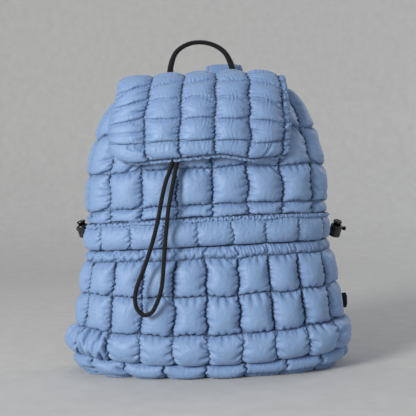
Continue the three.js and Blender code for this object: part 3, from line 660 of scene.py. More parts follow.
@dataclass(frozen=True)
class SeamLine:
    """How one kind of seam strays from its straight line: a slow bow and small jags."""

    bow_pitch: float
    bow_share: float
    bow_seed: int
    bow_step: int
    jag_pitch: float
    jag_share: float
    jag_seed: int
    jag_step: int

    def stray(self, quilt: "Quilt", seam: int, places: np.ndarray) -> tuple[np.ndarray, np.ndarray]:
        """Bow and jags of a seam at places along it."""
        bow_seed = quilt.seed + self.bow_seed + self.bow_step * seam
        jag_seed = quilt.seed + self.jag_seed + self.jag_step * seam
        bow = self.bow_share * quilt.wander * ripple(places, self.bow_pitch, bow_seed)
        return bow, self.jag_share * quilt.zigzag * ripple(places, self.jag_pitch, jag_seed)


COLUMN_SEAM = SeamLine(0.045, 1.0, 0, 11, 0.0052, 1.0, 500, 7)
ROW_SEAM = SeamLine(0.06, 0.8, 1000, 13, 0.0056, 0.5, 1500, 17)


@dataclass
class Quilt:
    """A padded layer of cloth sewn in boxes on a seam surface.

    A hold is the share of a box's fullness that is kept on a seam, from 0 for a seam sewn down to 1
    for none. A slack is the share of the extra length of its dome that the cloth of a box is cut with.
    """

    surface: Surface
    columns: list[float]
    rows: list[float]
    puff: np.ndarray
    seed: int
    column_hold: np.ndarray | None = None
    row_hold: np.ndarray | None = None
    slack_across: np.ndarray | float = 1.0
    slack_along: np.ndarray | float = 1.0
    gathered: tuple[int, ...] = ()
    wander: float = 0.0013
    zigzag: float = 0.0005
    pucker: float = 0.00045
    gather_pucker: float = 0.0007
    cell: float = 0.0046
    settler: ClothSettler = field(default_factory=ClothSettler)
    steps: tuple[int, ...] = (45, 26, 10)
    top_more: float = 0.0015
    slack: float = 0.84
    # Reach and strength of the shade painted into the seams with the thread's colour; shade_power sets how
    # much a seam that holds fullness weakens it, and end_shade stands for that at a piece's two ends
    seam_reach: float = 0.008
    end_shade: float = 0.25
    seam_depth: float = 1.0
    shade_power: float = 0.3
    jag_power: int = 4
    dome_power: float = 0.55
    most_extra: float = 0.6
    uneven: tuple[float, float] = (0.85, 1.15)
    swell_pitch: float = 0.024
    swell_height: float = 0.0008
    # Pitch and reach of the puckers beside a column seam and beside a row seam
    pucker_pitch: tuple[float, float] = (0.0044, 0.0046)
    pucker_reach: tuple[float, float] = (0.0040, 0.0045)
    pucker_slant: float = 0.35
    thread_reach: float = 0.0008
    gather_pitch: float = 0.0042
    gather_slant: float = 0.2
    gather_power: float = 0.7
    full_loft: float = 0.009

    def place(self, level: int) -> None:
        """Lays out the grid, its seam surface and its first, evenly filled form.

        Args:
            level: How many times the first grid is halved.
        """
        cells = [
            [max(3, round((b - a) / self.cell)) * 2**level for a, b in zip(places, places[1:])]
            for places in (self.columns, self.rows)
        ]
        u, self.box_u, s = box_share(self.columns, cells[0])
        v, self.box_v, t = box_share(self.rows, cells[1])
        self.s, self.t = s[:, None], t[None, :]
        self.u, self.v = np.broadcast_arrays(u[:, None], v[None, :])
        shape = self.u.shape
        on_column = (s == 0) | (s == 1)
        on_row = (t == 0) | (t == 1)
        loose = np.isin(self.box_v, self.gathered)
        ends = np.zeros(shape[0], bool)
        ends[[0, -1]] = True
        self.sewn = on_row[None, :] | (on_column[:, None] & ~loose[None, :]) | ends[:, None]
        warp_u, warp_v = self.drift(s, t)
        self.base = self.surface(self.u + warp_u, self.v + warp_v)
        self.out = grid_normals(self.surface(self.u, self.v))
        self.full = self.fullness(s, t)
        self.fabric = self.base + self.out * self.full[..., None]

    def drift(self, s: np.ndarray, t: np.ndarray) -> tuple[np.ndarray, np.ndarray]:
        """How far the seams and the cloth between them lie off their straight lines.

        Args:
            s: Share of a box across.
            t: Share of a box along.

        Returns:
            Shifts across and along.
        """
        shift_u = np.zeros(self.u.shape)
        shift_v = np.zeros(self.u.shape)
        line_v, line_u = self.v[0], self.u[:, 0]
        for side in (0, 1):
            seam_u, seam_v = self.box_u + side, self.box_v + side
            near_u, near_v = (s, t) if side else (1 - s, 1 - t)
            for seam in range(1, len(self.columns) - 1):
                bow, jag = COLUMN_SEAM.stray(self, seam, line_v)
                pick = (seam_u == seam)[:, None]
                shift_u += pick * (near_u[:, None] * bow + near_u[:, None] ** self.jag_power * jag)
            for seam in range(1, len(self.rows) - 1):
                bow, jag = ROW_SEAM.stray(self, seam, line_u)
                pick = (seam_v == seam)[None, :]
                bowed = near_v[None, :] * bow[:, None]
                shift_v += pick * (bowed + near_v[None, :] ** self.jag_power * jag[:, None])
        return shift_u, shift_v

    def fullness(self, s: np.ndarray, t: np.ndarray) -> np.ndarray:
        """How far the evenly filled cloth stands above the seam surface.

        Args:
            s: Share of a box across.
            t: Share of a box along.

        Returns:
            Heights on the grid.
        """
        columns, rows = len(self.columns), len(self.rows)
        hold_u, hold_v = np.zeros((columns, rows - 1)), np.zeros((columns - 1, rows))
        for hold, given in ((hold_u, self.column_hold), (hold_v, self.row_hold)):
            if given is not None:
                hold[:] = given
        hold_u[[0, -1]] = 0
        hold_v[:, [0, -1]] = 0
        bu, bv = self.box_u[:, None], self.box_v[None, :]
        self.open_column = 1 - np.where(s[:, None] < 0.5, hold_u[bu, bv], hold_u[bu + 1, bv])
        self.open_row = 1 - np.where(t[None, :] < 0.5, hold_v[bu, bv], hold_v[bu, bv + 1])
        at_end = ((bu == 0) & (s[:, None] < 0.5)) | ((bu == columns - 2) & (s[:, None] >= 0.5))
        self.open_column = np.where(at_end, self.end_shade, self.open_column)
        across = (1 - s[:, None]) * hold_u[bu, bv] + s[:, None] * hold_u[bu + 1, bv]
        along = (1 - t[None, :]) * hold_v[bu, bv] + t[None, :] * hold_v[bu, bv + 1]
        dome_u = np.clip(4 * s * (1 - s), 0, 1) ** self.dome_power
        dome_v = np.clip(4 * t * (1 - t), 0, 1) ** self.dome_power
        rise = (across + (1 - across) * dome_u[:, None]) * (along + (1 - along) * dome_v[None, :])
        puff = np.broadcast_to(np.asarray(self.puff, float), (columns - 1, rows - 1))[bu, bv]
        return puff * rise

    def free_lengths(self) -> tuple[np.ndarray, np.ndarray]:
        """Free lengths of the cloth's edges across and along, with what the filling takes up."""
        shape = (len(self.columns) - 1, len(self.rows) - 1)
        puff = np.broadcast_to(np.asarray(self.puff, float), shape)
        slack_u = np.broadcast_to(np.asarray(self.slack_across, float), shape)
        slack_v = np.broadcast_to(np.asarray(self.slack_along, float), shape)
        wide = np.diff(self.columns)[:, None]
        high = np.diff(self.rows)[None, :]
        rng = np.random.default_rng(self.seed)
        uneven = rng.uniform(*self.uneven, shape)
        more_u = np.minimum(self.most_extra, DOME_EXCESS * (puff / wide) ** 2 * slack_u * self.slack)
        more_v = np.minimum(self.most_extra, DOME_EXCESS * (puff / high) ** 2 * slack_v * self.slack)
        more_u, more_v = more_u * uneven, more_v * uneven[::-1, ::-1]
        straight_u = np.linalg.norm(np.diff(self.base, axis=0), axis=-1)
        straight_v = np.linalg.norm(np.diff(self.base, axis=1), axis=-1)
        more_u = more_u[self.box_u[:-1]][:, self.box_v]
        more_v = more_v[self.box_u][:, self.box_v[:-1]]
        return straight_u * (1 + more_u), straight_v * (1 + more_v)

    def sew(self) -> "Quilt":
        """Fills the boxes and lets the cloth settle, then adds the finest puckers.

        Returns:
            This quilt, whose fabric is the finished outer face.
        """
        self.place(0)
        uneven = swell(self.u, self.v, self.swell_pitch, self.seed + Draw.FIRST_SWELL.value)
        fabric = self.fabric + self.out * (self.swell_height * uneven * ~self.sewn)[..., None]
        for level, steps in enumerate(self.steps):
            if level:
                self.place(level)
                fabric = doubled(doubled(fabric, 0), 1)
                fabric = np.where(self.sewn[..., None], self.fabric, fabric)
            fabric = self.settler.settle(
                fabric, self.base, self.out, self.sewn, self.free_lengths(), self.full + self.top_more,
                steps, level,
            )
        self.fabric = fabric + self.out * self.puckers()[..., None]
        return self

    def seam_distance(self) -> tuple[np.ndarray, np.ndarray]:
        """Distance of each place to the nearest column seam and to the nearest row seam."""
        wide = np.diff(self.columns)[self.box_u][:, None]
        high = np.diff(self.rows)[self.box_v][None, :]
        to_column = np.broadcast_to(wide * np.minimum(self.s, 1 - self.s), self.u.shape).copy()
        to_row = np.broadcast_to(high * np.minimum(self.t, 1 - self.t), self.u.shape)
        loose = np.isin(self.box_v, self.gathered)
        to_column[:, loose] = NO_SEAM_NEAR
        return to_column, to_row

    def seam_nearness(self) -> dict[str, np.ndarray]:
        """Marks for the shader's painted seam shade and its seam puckers: seam_depth on a seam, nothing from
        seam_reach on, less where a seam holds more of the fullness.
        """
        to_column, to_row = self.seam_distance()
        down = np.clip(1 - to_column / self.seam_reach, 0, 1) * self.open_column**self.shade_power
        across = np.clip(1 - to_row / self.seam_reach, 0, 1) * self.open_row**self.shade_power
        return {"seam_down": down * self.seam_depth, "seam_across": across * self.seam_depth}

    def puckers(self) -> np.ndarray:
        """Height of the small puckers that the thread draws beside each seam."""
        to_column, to_row = self.seam_distance()
        rises = []
        for along, distance, pitch, reach, draw in (
            (self.v, to_column, self.pucker_pitch[0], self.pucker_reach[0], Draw.BESIDE_COLUMNS),
            (self.u, to_row, self.pucker_pitch[1], self.pucker_reach[1], Draw.BESIDE_ROWS),
        ):
            rise = ripple(along + self.pucker_slant * distance, pitch, self.seed + draw.value)
            at_thread = np.exp(-((distance / self.thread_reach) ** 2))
            rises.append(rise * (np.exp(-distance / reach) * (1 - at_thread)))
        loose = np.isin(self.box_v, self.gathered)[None, :]
        frill = ripple(self.u + self.gather_slant * self.v, self.gather_pitch, self.seed + Draw.GATHERS.value)
        drawn_in = loose * frill * np.sin(math.pi * self.t) ** self.gather_power
        return self.pucker * (rises[0] + rises[1]) + self.gather_pucker * drawn_in

    def piece(self, name: str, wall: float) -> bpy.types.Object:
        """The layer as a closed mesh.

        Args:
            name: Name of the piece.
            wall: Thickness from the seam surface to the lining.

        Returns:
            The new object.
        """
        skip = 2 ** (len(self.steps) - 1)
        lining = (self.base - wall * self.out)[::skip, ::skip]
        height = np.einsum("ijk,ijk->ij", self.fabric - self.base, self.out)
        # loft, the cloth's height over the seam surface, is where the shader paints a highlight on the puffs'
        # crowns
        loft = np.clip(height / self.full_loft, 0, 1)
        weave = np.stack([self.u, self.v], axis=-1)
        return lined_mesh(name, self.fabric, lining, skip, weave=weave, loft=loft, **self.seam_nearness())


def quilt_places(start: float, end: float, pitch: float, phase: float) -> list[float]:
    """Places of quilting seams between two ends, a pitch apart, none close to an end.

    Args:
        start: First end.
        end: Last end.
        pitch: Width of a box.
        phase: Place of one of the seams.

    Returns:
        The ends and the seams between them.
    """
    places = [start]
    count = math.ceil((start - phase) / pitch)
    while phase + count * pitch < end:
        place = phase + count * pitch
        if place - start > pitch / 3 and end - place > pitch / 3:
            places.append(place)
        count += 1
    return [*places, end]


# Finishes


class Wiring:
    """Puts nodes into a tree and joins them."""

    def __init__(self, tree: bpy.types.NodeTree) -> None:
        """Keeps the tree that the nodes go into."""
        self.tree = tree

    def add(self, kind: str, sockets: dict | None = None, **settings: object) -> bpy.types.Node:
        """A node with its settings, values and links.

        Args:
            kind: Blender's name of the node type, without its first words.
            sockets: Values or joined outputs for its inputs, by name or number.
            settings: Properties of the node.

        Returns:
            The node.
        """
        node = self.tree.nodes.new("ShaderNode" + kind)
        for setting, value in settings.items():
            setattr(node, setting, value)
        self.join(node, sockets or {})
        return node

    def join(self, node: bpy.types.Node, sockets: dict) -> None:
        """Gives a node's inputs their values or joined outputs, by name or number."""
        for socket, value in sockets.items():
            if isinstance(value, bpy.types.NodeSocket):
                self.tree.links.new(value, node.inputs[socket])
            else:
                node.inputs[socket].default_value = value

    def math(self, operation: str, *values: object) -> bpy.types.NodeSocket:
        """The result of one sum on numbers or joined outputs."""
        return self.add("Math", dict(enumerate(values)), operation=operation).outputs[0]

    def mix(self, share: object, one: object, two: object) -> bpy.types.NodeSocket:
        """A colour between two, by a share."""
        return self.add("Mix", {"Factor": share, 6: one, 7: two}, data_type="RGBA").outputs[2]

    def noise(self, place: object, scale: object, detail: float, rough: float = 0.5) -> bpy.types.NodeSocket:
        """Cloudy values over a surface."""
        sockets = {"Vector": place, "Scale": scale, "Detail": detail, "Roughness": rough}
        return self.add("TexNoise", sockets).outputs["Fac"]

    def span(self, value: object, low: float, high: float, to_low: float = 0, to_high: float = 1) -> object:
        """A value stretched from one span to another."""
        sockets = {"Value": value, "From Min": low, "From Max": high, "To Min": to_low, "To Max": to_high}
        return self.add("MapRange", sockets).outputs[0]

    def bump(self, height: object, strength: float, depth: float, below: object = None) -> object:
        """Directions of a surface with a relief, which may lie on another relief."""
        sockets = {"Height": height, "Strength": strength, "Distance": depth}
        return self.add("Bump", sockets if below is None else {**sockets, "Normal": below}).outputs[0]

    def mark(self, name: str) -> bpy.types.NodeSocket:
        """A mark that the mesh carries."""
        return self.add("Attribute", attribute_name=name).outputs["Fac"]

    def place(self) -> bpy.types.NodeSocket:
        """The place on the object."""
        return self.add("TexCoord").outputs["Object"]

    def cloth_place(self) -> bpy.types.NodeOutputs:
        """Lengths across and along the cloth, as the mesh has them."""
        return self.add("SeparateXYZ", {0: self.add("UVMap", uv_map="weave").outputs[0]}).outputs


@dataclass(frozen=True)
class Group:
    """A node group under construction: its wiring, its inputs and the node that it puts out by."""

    wires: Wiring
    inputs: bpy.types.NodeOutputs
    end: bpy.types.Node

    @staticmethod
    def start(name: str, inputs: dict, outputs: dict) -> "Group":
        """An empty node group with named sockets.

        Args:
            name: Name of the effect.
            inputs: Socket types and first values by name.
            outputs: Socket types by name.

        Returns:
            The group.
        """
        tree = bpy.data.node_groups.new(name, "ShaderNodeTree")
        for socket, (kind, value) in inputs.items():
            made = tree.interface.new_socket(socket, in_out="INPUT", socket_type="NodeSocket" + kind)
            made.default_value = value
        for socket, kind in outputs.items():
            tree.interface.new_socket(socket, in_out="OUTPUT", socket_type="NodeSocket" + kind)
        start, end = tree.nodes.new("NodeGroupInput"), tree.nodes.new("NodeGroupOutput")
        return Group(Wiring(tree), start.outputs, end)

    def put_out(self, **outputs: bpy.types.NodeSocket) -> bpy.types.NodeTree:
        """Joins the results to the group's outputs and gives back its tree."""
        self.wires.join(self.end, outputs)
        return self.wires.tree


@dataclass(frozen=True)
class Effects:
    """The surface effects that several finishes share."""

    woven: bpy.types.NodeTree
    crinkled: bpy.types.NodeTree
    shaded: bpy.types.NodeTree
    puckered: bpy.types.NodeTree
    ribbed: bpy.types.NodeTree
    scuffed: bpy.types.NodeTree

    @staticmethod
    def build() -> "Effects":
        """Builds each effect once."""
        return Effects(
            Effects.plain_weave(), Effects.crinkles(), Effects.seam_shade(), Effects.seam_puckers(),
            Effects.ribs(), Effects.scuffs(),
        )

    @staticmethod
    def plain_weave() -> bpy.types.NodeTree:
        """Threads that cross over and under each other, as a height."""
        group = Group.start("PlainWeave", {"Threads": ("Float", 1500.0)}, {"Height": "Float"})
        wires, split = group.wires, group.wires.cloth_place()
        rate = wires.math("MULTIPLY", group.inputs["Threads"], math.pi)
        across = wires.math("SINE", wires.math("MULTIPLY", split[0], rate))
        along = wires.math("SINE", wires.math("MULTIPLY", split[1], rate))
        return group.put_out(Height=wires.math("MULTIPLY", across, along))

    @staticmethod
    def crinkles() -> bpy.types.NodeTree:
        """Soft creases of thin cloth, as a height, and its uneven tone."""
        group = Group.start(
            "SoftCrinkles",
            {"Size": ("Float", 60.0), "Spread": ("Float", 1.0)},
            {"Height": "Float", "Tone": "Float"},
        )
        bend_size, bend_by = 22.0, 0.02
        ridge_height, fine_height, finer = -2.0, 0.25, 4.0
        tone_size, tone_low, tone_high = 9.0, 0.3, 0.7
        wires, size, place = group.wires, group.inputs["Size"], group.wires.place()
        bent = wires.add("TexNoise", {"Vector": place, "Scale": bend_size, "Detail": 2.0}).outputs["Color"]
        shift = wires.add("VectorMath", {0: bent, "Scale": bend_by}, operation="SCALE").outputs[0]
        moved = wires.add("VectorMath", {0: place, 1: shift}, operation="ADD").outputs[0]
        folds = wires.noise(moved, size, 3.0, 0.55)
        ridge = wires.math("ABSOLUTE", wires.math("SUBTRACT", folds, 0.5))
        fine = wires.noise(moved, wires.math("MULTIPLY", size, finer), 2.0)
        height = wires.math(
            "ADD", wires.math("MULTIPLY", ridge, ridge_height), wires.math("MULTIPLY", fine, fine_height)
        )
        return group.put_out(
            Height=wires.math("MULTIPLY", height, group.inputs["Spread"]),
            Tone=wires.span(wires.noise(place, tone_size, 3.0), tone_low, tone_high),
        )

    @staticmethod
    def seam_shade() -> bpy.types.NodeTree:
        """Deeper colour in the seams: the thread's colour and painted shade; and a paler crown: a painted
        highlight on the top of each puff.
        """
        group = Group.start(
            "SeamShade",
            {
                "Cloth": ("Color", (0.5, 0.5, 0.5, 1)),
                "Seam": ("Color", (0.1, 0.1, 0.1, 1)),
                "Crown": ("Color", (0.6, 0.6, 0.6, 1)),
                "Tone": ("Float", 0.5),
            },
            {"Color": "Color", "Mask": "Float"},
        )
        jag_size, jag_low, jag_high, jag = 430.0, 0.3, 0.7, 0.2
        crown_light_from, least_crown_light = 0.35, 0.45
        down_span, level_span, level_depth = (0.67, 0.95), (0.80, 1.04), 0.85
        wires = group.wires
        jagged = wires.span(wires.noise(wires.place(), jag_size, 3.0, 0.7), jag_low, jag_high, -jag, jag)
        # Painted highlight: the crown colour is laid over the tops of the puffs by their loft, its strength
        # varied at random by worn, the cloth's uneven tone
        worn = wires.span(group.inputs["Tone"], 0, 1, least_crown_light, 1)
        painted_crown_light = wires.math("MULTIPLY", wires.span(wires.mark("loft"), crown_light_from, 1.0), worn)
        cloth = wires.mix(painted_crown_light, group.inputs["Cloth"], group.inputs["Crown"])
        # Painted shade, with the thread's colour: the seam colour is laid along the column and row seams
        down = wires.span(wires.math("ADD", wires.mark("seam_down"), jagged), *down_span)
        level = wires.span(wires.math("ADD", wires.mark("seam_across"), jagged), *level_span, 0, level_depth)
        deep = wires.math("MAXIMUM", down, level)
        return group.put_out(Color=wires.mix(deep, cloth, group.inputs["Seam"]), Mask=deep)

    @staticmethod
    def seam_puckers() -> bpy.types.NodeTree:
        """Short puckers that the thread draws square to each seam, as a height."""
        group = Group.start(
            "SeamPuckers", {"Fine": ("Float", 430.0), "Long": ("Float", 75.0)}, {"Height": "Float"}
        )
        near_low, near_high = 0.1, 0.85
        wires, split, heights = group.wires, group.wires.cloth_place(), []
        for mark, slow, fast in (("seam_down", 0, 1), ("seam_across", 1, 0)):
            near = wires.span(wires.mark(mark), near_low, near_high)
            place = wires.add("CombineXYZ", {
                0: wires.math("MULTIPLY", split[slow], group.inputs["Long"]),
                1: wires.math("MULTIPLY", split[fast], group.inputs["Fine"]),
            }).outputs[0]
            heights.append(wires.math("MULTIPLY", near, wires.noise(place, 1.0, 2.0, 0.6)))
        return group.put_out(Height=wires.math("MAXIMUM", *heights))

    @staticmethod
    def ribs() -> bpy.types.NodeTree:
        """Chevron ribs of a strong woven band or a braid, as a height and a mask of the gaps."""
        group = Group.start(
            "ChevronRibs",
            {"Across": ("Float", 900.0), "Along": ("Float", 700.0), "Slant": ("Float", 0.6)},
            {"Height": "Float", "Gaps": "Float"},
        )
        full_row = 0.6
        wires, split = group.wires, group.wires.cloth_place()
        side = wires.math("MULTIPLY", split[0], group.inputs["Across"])
        zig = wires.math("MULTIPLY", wires.math("PINGPONG", side, 1.0), group.inputs["Slant"])
        run = wires.math("MULTIPLY", split[1], group.inputs["Along"])
        wave = wires.math("SINE", wires.math("MULTIPLY", wires.math("ADD", run, zig), FULL_TURN))
        rows = wires.math("SINE", wires.math("MULTIPLY", side, math.pi))
        rounded = wires.span(wires.math("ABSOLUTE", rows), 0, full_row)
        height = wires.math("MULTIPLY", wires.span(wave, -1, 1), rounded)
        return group.put_out(Height=height, Gaps=wires.math("SUBTRACT", 1.0, height))

    @staticmethod
    def scuffs() -> bpy.types.NodeTree:
        """Fine handling marks, as a height and a mask."""
        group = Group.start("FineScuffs", {"Size": ("Float", 300.0)}, {"Height": "Float", "Marks": "Float"})
        drawn_out, mark_low, mark_high, grain_finer = (1.0, 1.0, 0.18), 0.52, 0.72, 6.0
        wires, size, place = group.wires, group.inputs["Size"], group.wires.place()
        long_way = wires.add("Mapping", {"Vector": place, "Scale": drawn_out}).outputs[0]
        return group.put_out(
            Height=wires.noise(place, wires.math("MULTIPLY", size, grain_finer), 1.0),
            Marks=wires.span(wires.noise(long_way, size, 4.0, 0.7), mark_low, mark_high),
        )


def rgb(red: float, green: float, blue: float) -> tuple[float, float, float, float]:
    """A colour as the shaders take it."""
    return (red, green, blue, 1.0)


def new_material(name: str) -> tuple[bpy.types.Material, Wiring, bpy.types.Node]:
    """A plain material, its wiring and its shader."""
    made = bpy.data.materials.new(name)
    made.use_nodes = True
    return made, Wiring(made.node_tree), made.node_tree.nodes["Principled BSDF"]


@dataclass(frozen=True)
class NylonFinish:
    """Thin downproof nylon: a soft sheen, fine crinkles, a plain weave, deep seams with painted shade in them
    and crowns with a painted highlight.
    """

    name: str = "QuiltedNylon"
    cloth: tuple = rgb(0.182, 0.292, 0.50)
    # seam is the thread's colour and painted shade for the seams; crown is a painted highlight for the puffs'
    # tops
    seam: tuple = rgb(0.012, 0.025, 0.063)
    crown: tuple = rgb(0.232, 0.355, 0.575)
    roughness: float = 0.5
    crinkle: float = 0.62
    crinkle_size: float = 88.0
    crinkle_depth: float = 0.0016
    smoother: float = 0.05
    rougher: float = 0.07
    rough_in_seams: float = 0.3
    pucker: float = 0.9
    pucker_depth: float = 0.0011
    thread: float = 0.12
    thread_depth: float = 0.0001
    specular: float = 0.40
    sheen: float = 0.22
    sheen_roughness: float = 0.42
    sheen_tint: tuple = rgb(0.75, 0.85, 1.0)

    def material(self, effects: Effects) -> bpy.types.Material:
        """Builds the material.

        Args:
            effects: The shared surface effects.

        Returns:
            The material.
        """
        made, wires, shader = new_material(self.name)
        creases = wires.add("Group", {"Size": self.crinkle_size}, node_tree=effects.crinkled)
        weave = wires.add("Group", node_tree=effects.woven)
        drawn = wires.add("Group", node_tree=effects.puckered)
        tone = creases.outputs["Tone"]
        colours = {"Cloth": self.cloth, "Seam": self.seam, "Crown": self.crown, "Tone": tone}
        shade = wires.add("Group", colours, node_tree=effects.shaded)
        rough = wires.span(tone, 0, 1, self.roughness - self.smoother, self.roughness + self.rougher)
        in_seams = wires.math("MULTIPLY", shade.outputs["Mask"], self.rough_in_seams)
        broad = wires.bump(creases.outputs["Height"], self.crinkle, self.crinkle_depth)
        teeth = wires.bump(drawn.outputs["Height"], self.pucker, self.pucker_depth, broad)
        wires.join(shader, {
            "Base Color": shade.outputs["Color"],
            "Roughness": wires.math("ADD", rough, in_seams),
            "Normal": wires.bump(weave.outputs["Height"], self.thread, self.thread_depth, teeth),
            "Specular IOR Level": self.specular,
            "Sheen Weight": self.sheen,
            "Sheen Roughness": self.sheen_roughness,
            "Sheen Tint": self.sheen_tint,
        })
        return made


@dataclass(frozen=True)
class BandFinish:
    """Black band or braid of strong thread, matt, with its ribs in relief."""

    name: str
    across: float
    along: float
    slant: float
    depth: float
    colour: tuple = rgb(0.006, 0.006, 0.008)
    worn: tuple = rgb(0.012, 0.012, 0.015)
    roughness: float = 0.7
    smoother: float = 0.1
    rougher: float = 0.12
    relief: float = 0.8
    wear_size: float = 180.0
    least_wear: float = 0.3
    most_wear: float = 0.8
    specular: float = 0.25
    sheen: float = 0.05

    def material(self, effects: Effects) -> bpy.types.Material:
        """Builds the material.

        Args:
            effects: The shared surface effects.

        Returns:
            The material.
        """
        made, wires, shader = new_material(self.name)
        sizes = {"Across": self.across, "Along": self.along, "Slant": self.slant}
        ribs = wires.add("Group", sizes, node_tree=effects.ribbed)
        creases = wires.add("Group", {"Size": self.wear_size}, node_tree=effects.crinkled)
        wear = wires.span(creases.outputs["Tone"], 0, 1, self.least_wear, self.most_wear)
        crown = wires.math("MULTIPLY", ribs.outputs["Height"], wear)
        rough = (self.roughness - self.smoother, self.roughness + self.rougher)
        wires.join(shader, {
            "Base Color": wires.mix(crown, self.colour, self.worn),
            "Roughness": wires.span(ribs.outputs["Gaps"], 0, 1, *rough),
            "Normal": wires.bump(ribs.outputs["Height"], self.relief, self.depth),
            "Specular IOR Level": self.specular,
            "Sheen Weight": self.sheen,
        })
        return made


@dataclass(frozen=True)
class PlasticFinish:
    """Black moulded plastic, half gloss, with a fine grain and light handling marks."""

    name: str = "MouldedPlastic"
    colour: tuple = rgb(0.009, 0.009, 0.01)
    marked: tuple = rgb(0.03, 0.031, 0.034)
    roughness: float = 0.26
    rougher: float = 0.2
    grain: float = 0.12
    grain_depth: float = 0.0002
    coat: float = 0.25
    coat_roughness: float = 0.12

    def material(self, effects: Effects) -> bpy.types.Material:
        """Builds the material.

        Args:
            effects: The shared surface effects.

        Returns:
            The material.
        """
        made, wires, shader = new_material(self.name)
        worn = wires.add("Group", node_tree=effects.scuffed)
        marks = worn.outputs["Marks"]
        wires.join(shader, {
            "Base Color": wires.mix(marks, self.colour, self.marked),
            "Roughness": wires.span(marks, 0, 1, self.roughness, self.roughness + self.rougher),
            "Normal": wires.bump(worn.outputs["Height"], self.grain, self.grain_depth),
            "Coat Weight": self.coat,
            "Coat Roughness": self.coat_roughness,
        })
        return made


@dataclass(frozen=True)
class Finishes:
    """One material for each finish of the bag."""

    nylon: bpy.types.Material
    lining: bpy.types.Material
    thread: bpy.types.Material
    webbing: bpy.types.Material
    cord: bpy.types.Material
    plastic: bpy.types.Material

    @staticmethod
    def build() -> "Finishes":
        """Builds the shared effects and every material."""
        kinds = {
            "nylon": NylonFinish(),
            # Its seam and crown colours are painted shade and a painted highlight, as on the outer nylon
            "lining": NylonFinish(
                "LiningNylon", cloth=rgb(0.15, 0.23, 0.39), seam=rgb(0.02, 0.035, 0.08),
                crown=rgb(0.19, 0.28, 0.45), roughness=0.55, crinkle=0.5, crinkle_size=90.0,
            ),
            "thread": BandFinish(
                "SewingThread", across=4000.0, along=1500.0, slant=0.5, depth=0.0001,
                colour=rgb(0.10, 0.155, 0.27), worn=rgb(0.20, 0.28, 0.43),
            ),
            "webbing": BandFinish("WovenWebbing", across=430.0, along=560.0, slant=0.55, depth=0.00035),
            "cord": BandFinish("BraidedCord", across=640.0, along=420.0, slant=0.5, depth=0.0003),
            "plastic": PlasticFinish(),
        }
        effects = Effects.build()
        return Finishes(**{part: finish.material(effects) for part, finish in kinds.items()})


def dress(
    piece: bpy.types.Object, material: bpy.types.Material, slot: Slot, *nodes: str, body: str = BAG
) -> None:
    """Gives a piece its finish and the body that it rides on, and hides the solids that it stands for.

    Args:
        piece: The new piece.
        material: Its finish.
        slot: The record's name of the finish; not used.
        nodes: Solids that aren't shown.
        body: The body that carries it.
    """
    piece.data.materials.clear()
    piece.data.materials.append(material)
    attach(piece, body)
    if nodes:
        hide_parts(*nodes)
    LOG.info("%s: %d faces", piece.name, len(piece.data.polygons))


# Form of the bag


# Height, half width, front depth and back depth of the seam surface, as shares of the body's sizes
POCKET_FORM: Table = (
    (0.052, 1.015, 0.95, 0.94), (0.155, 1.0, 1.0, 1.0), (0.287, 0.965, 0.985, 1.0),
    (0.414, 0.926, 0.94, 0.98), (0.457, 0.905, 0.9, 0.97),
)
BODY_FORM: Table = (
    (0.47, 0.876, 0.85, 0.95), (0.56, 0.884, 0.858, 0.96), (0.601, 0.893, 0.862, 0.96),
    (0.727, 0.883, 0.852, 0.95), (0.856, 0.816, 0.778, 0.92), (0.93, 0.75, 0.69, 0.87),
    (0.97, 0.69, 0.63, 0.83), (1.0, 0.626, 0.575, 0.78),
)
# Height and the share of side_lift that the sides lie above the middle
SIDE_RISE: Table = (
    (0, 0), (0.052, 1), (0.155, 0.8), (0.287, 0.5), (0.414, 0), (0.51, -0.4), (0.6, -0.4), (0.856, 0),
)


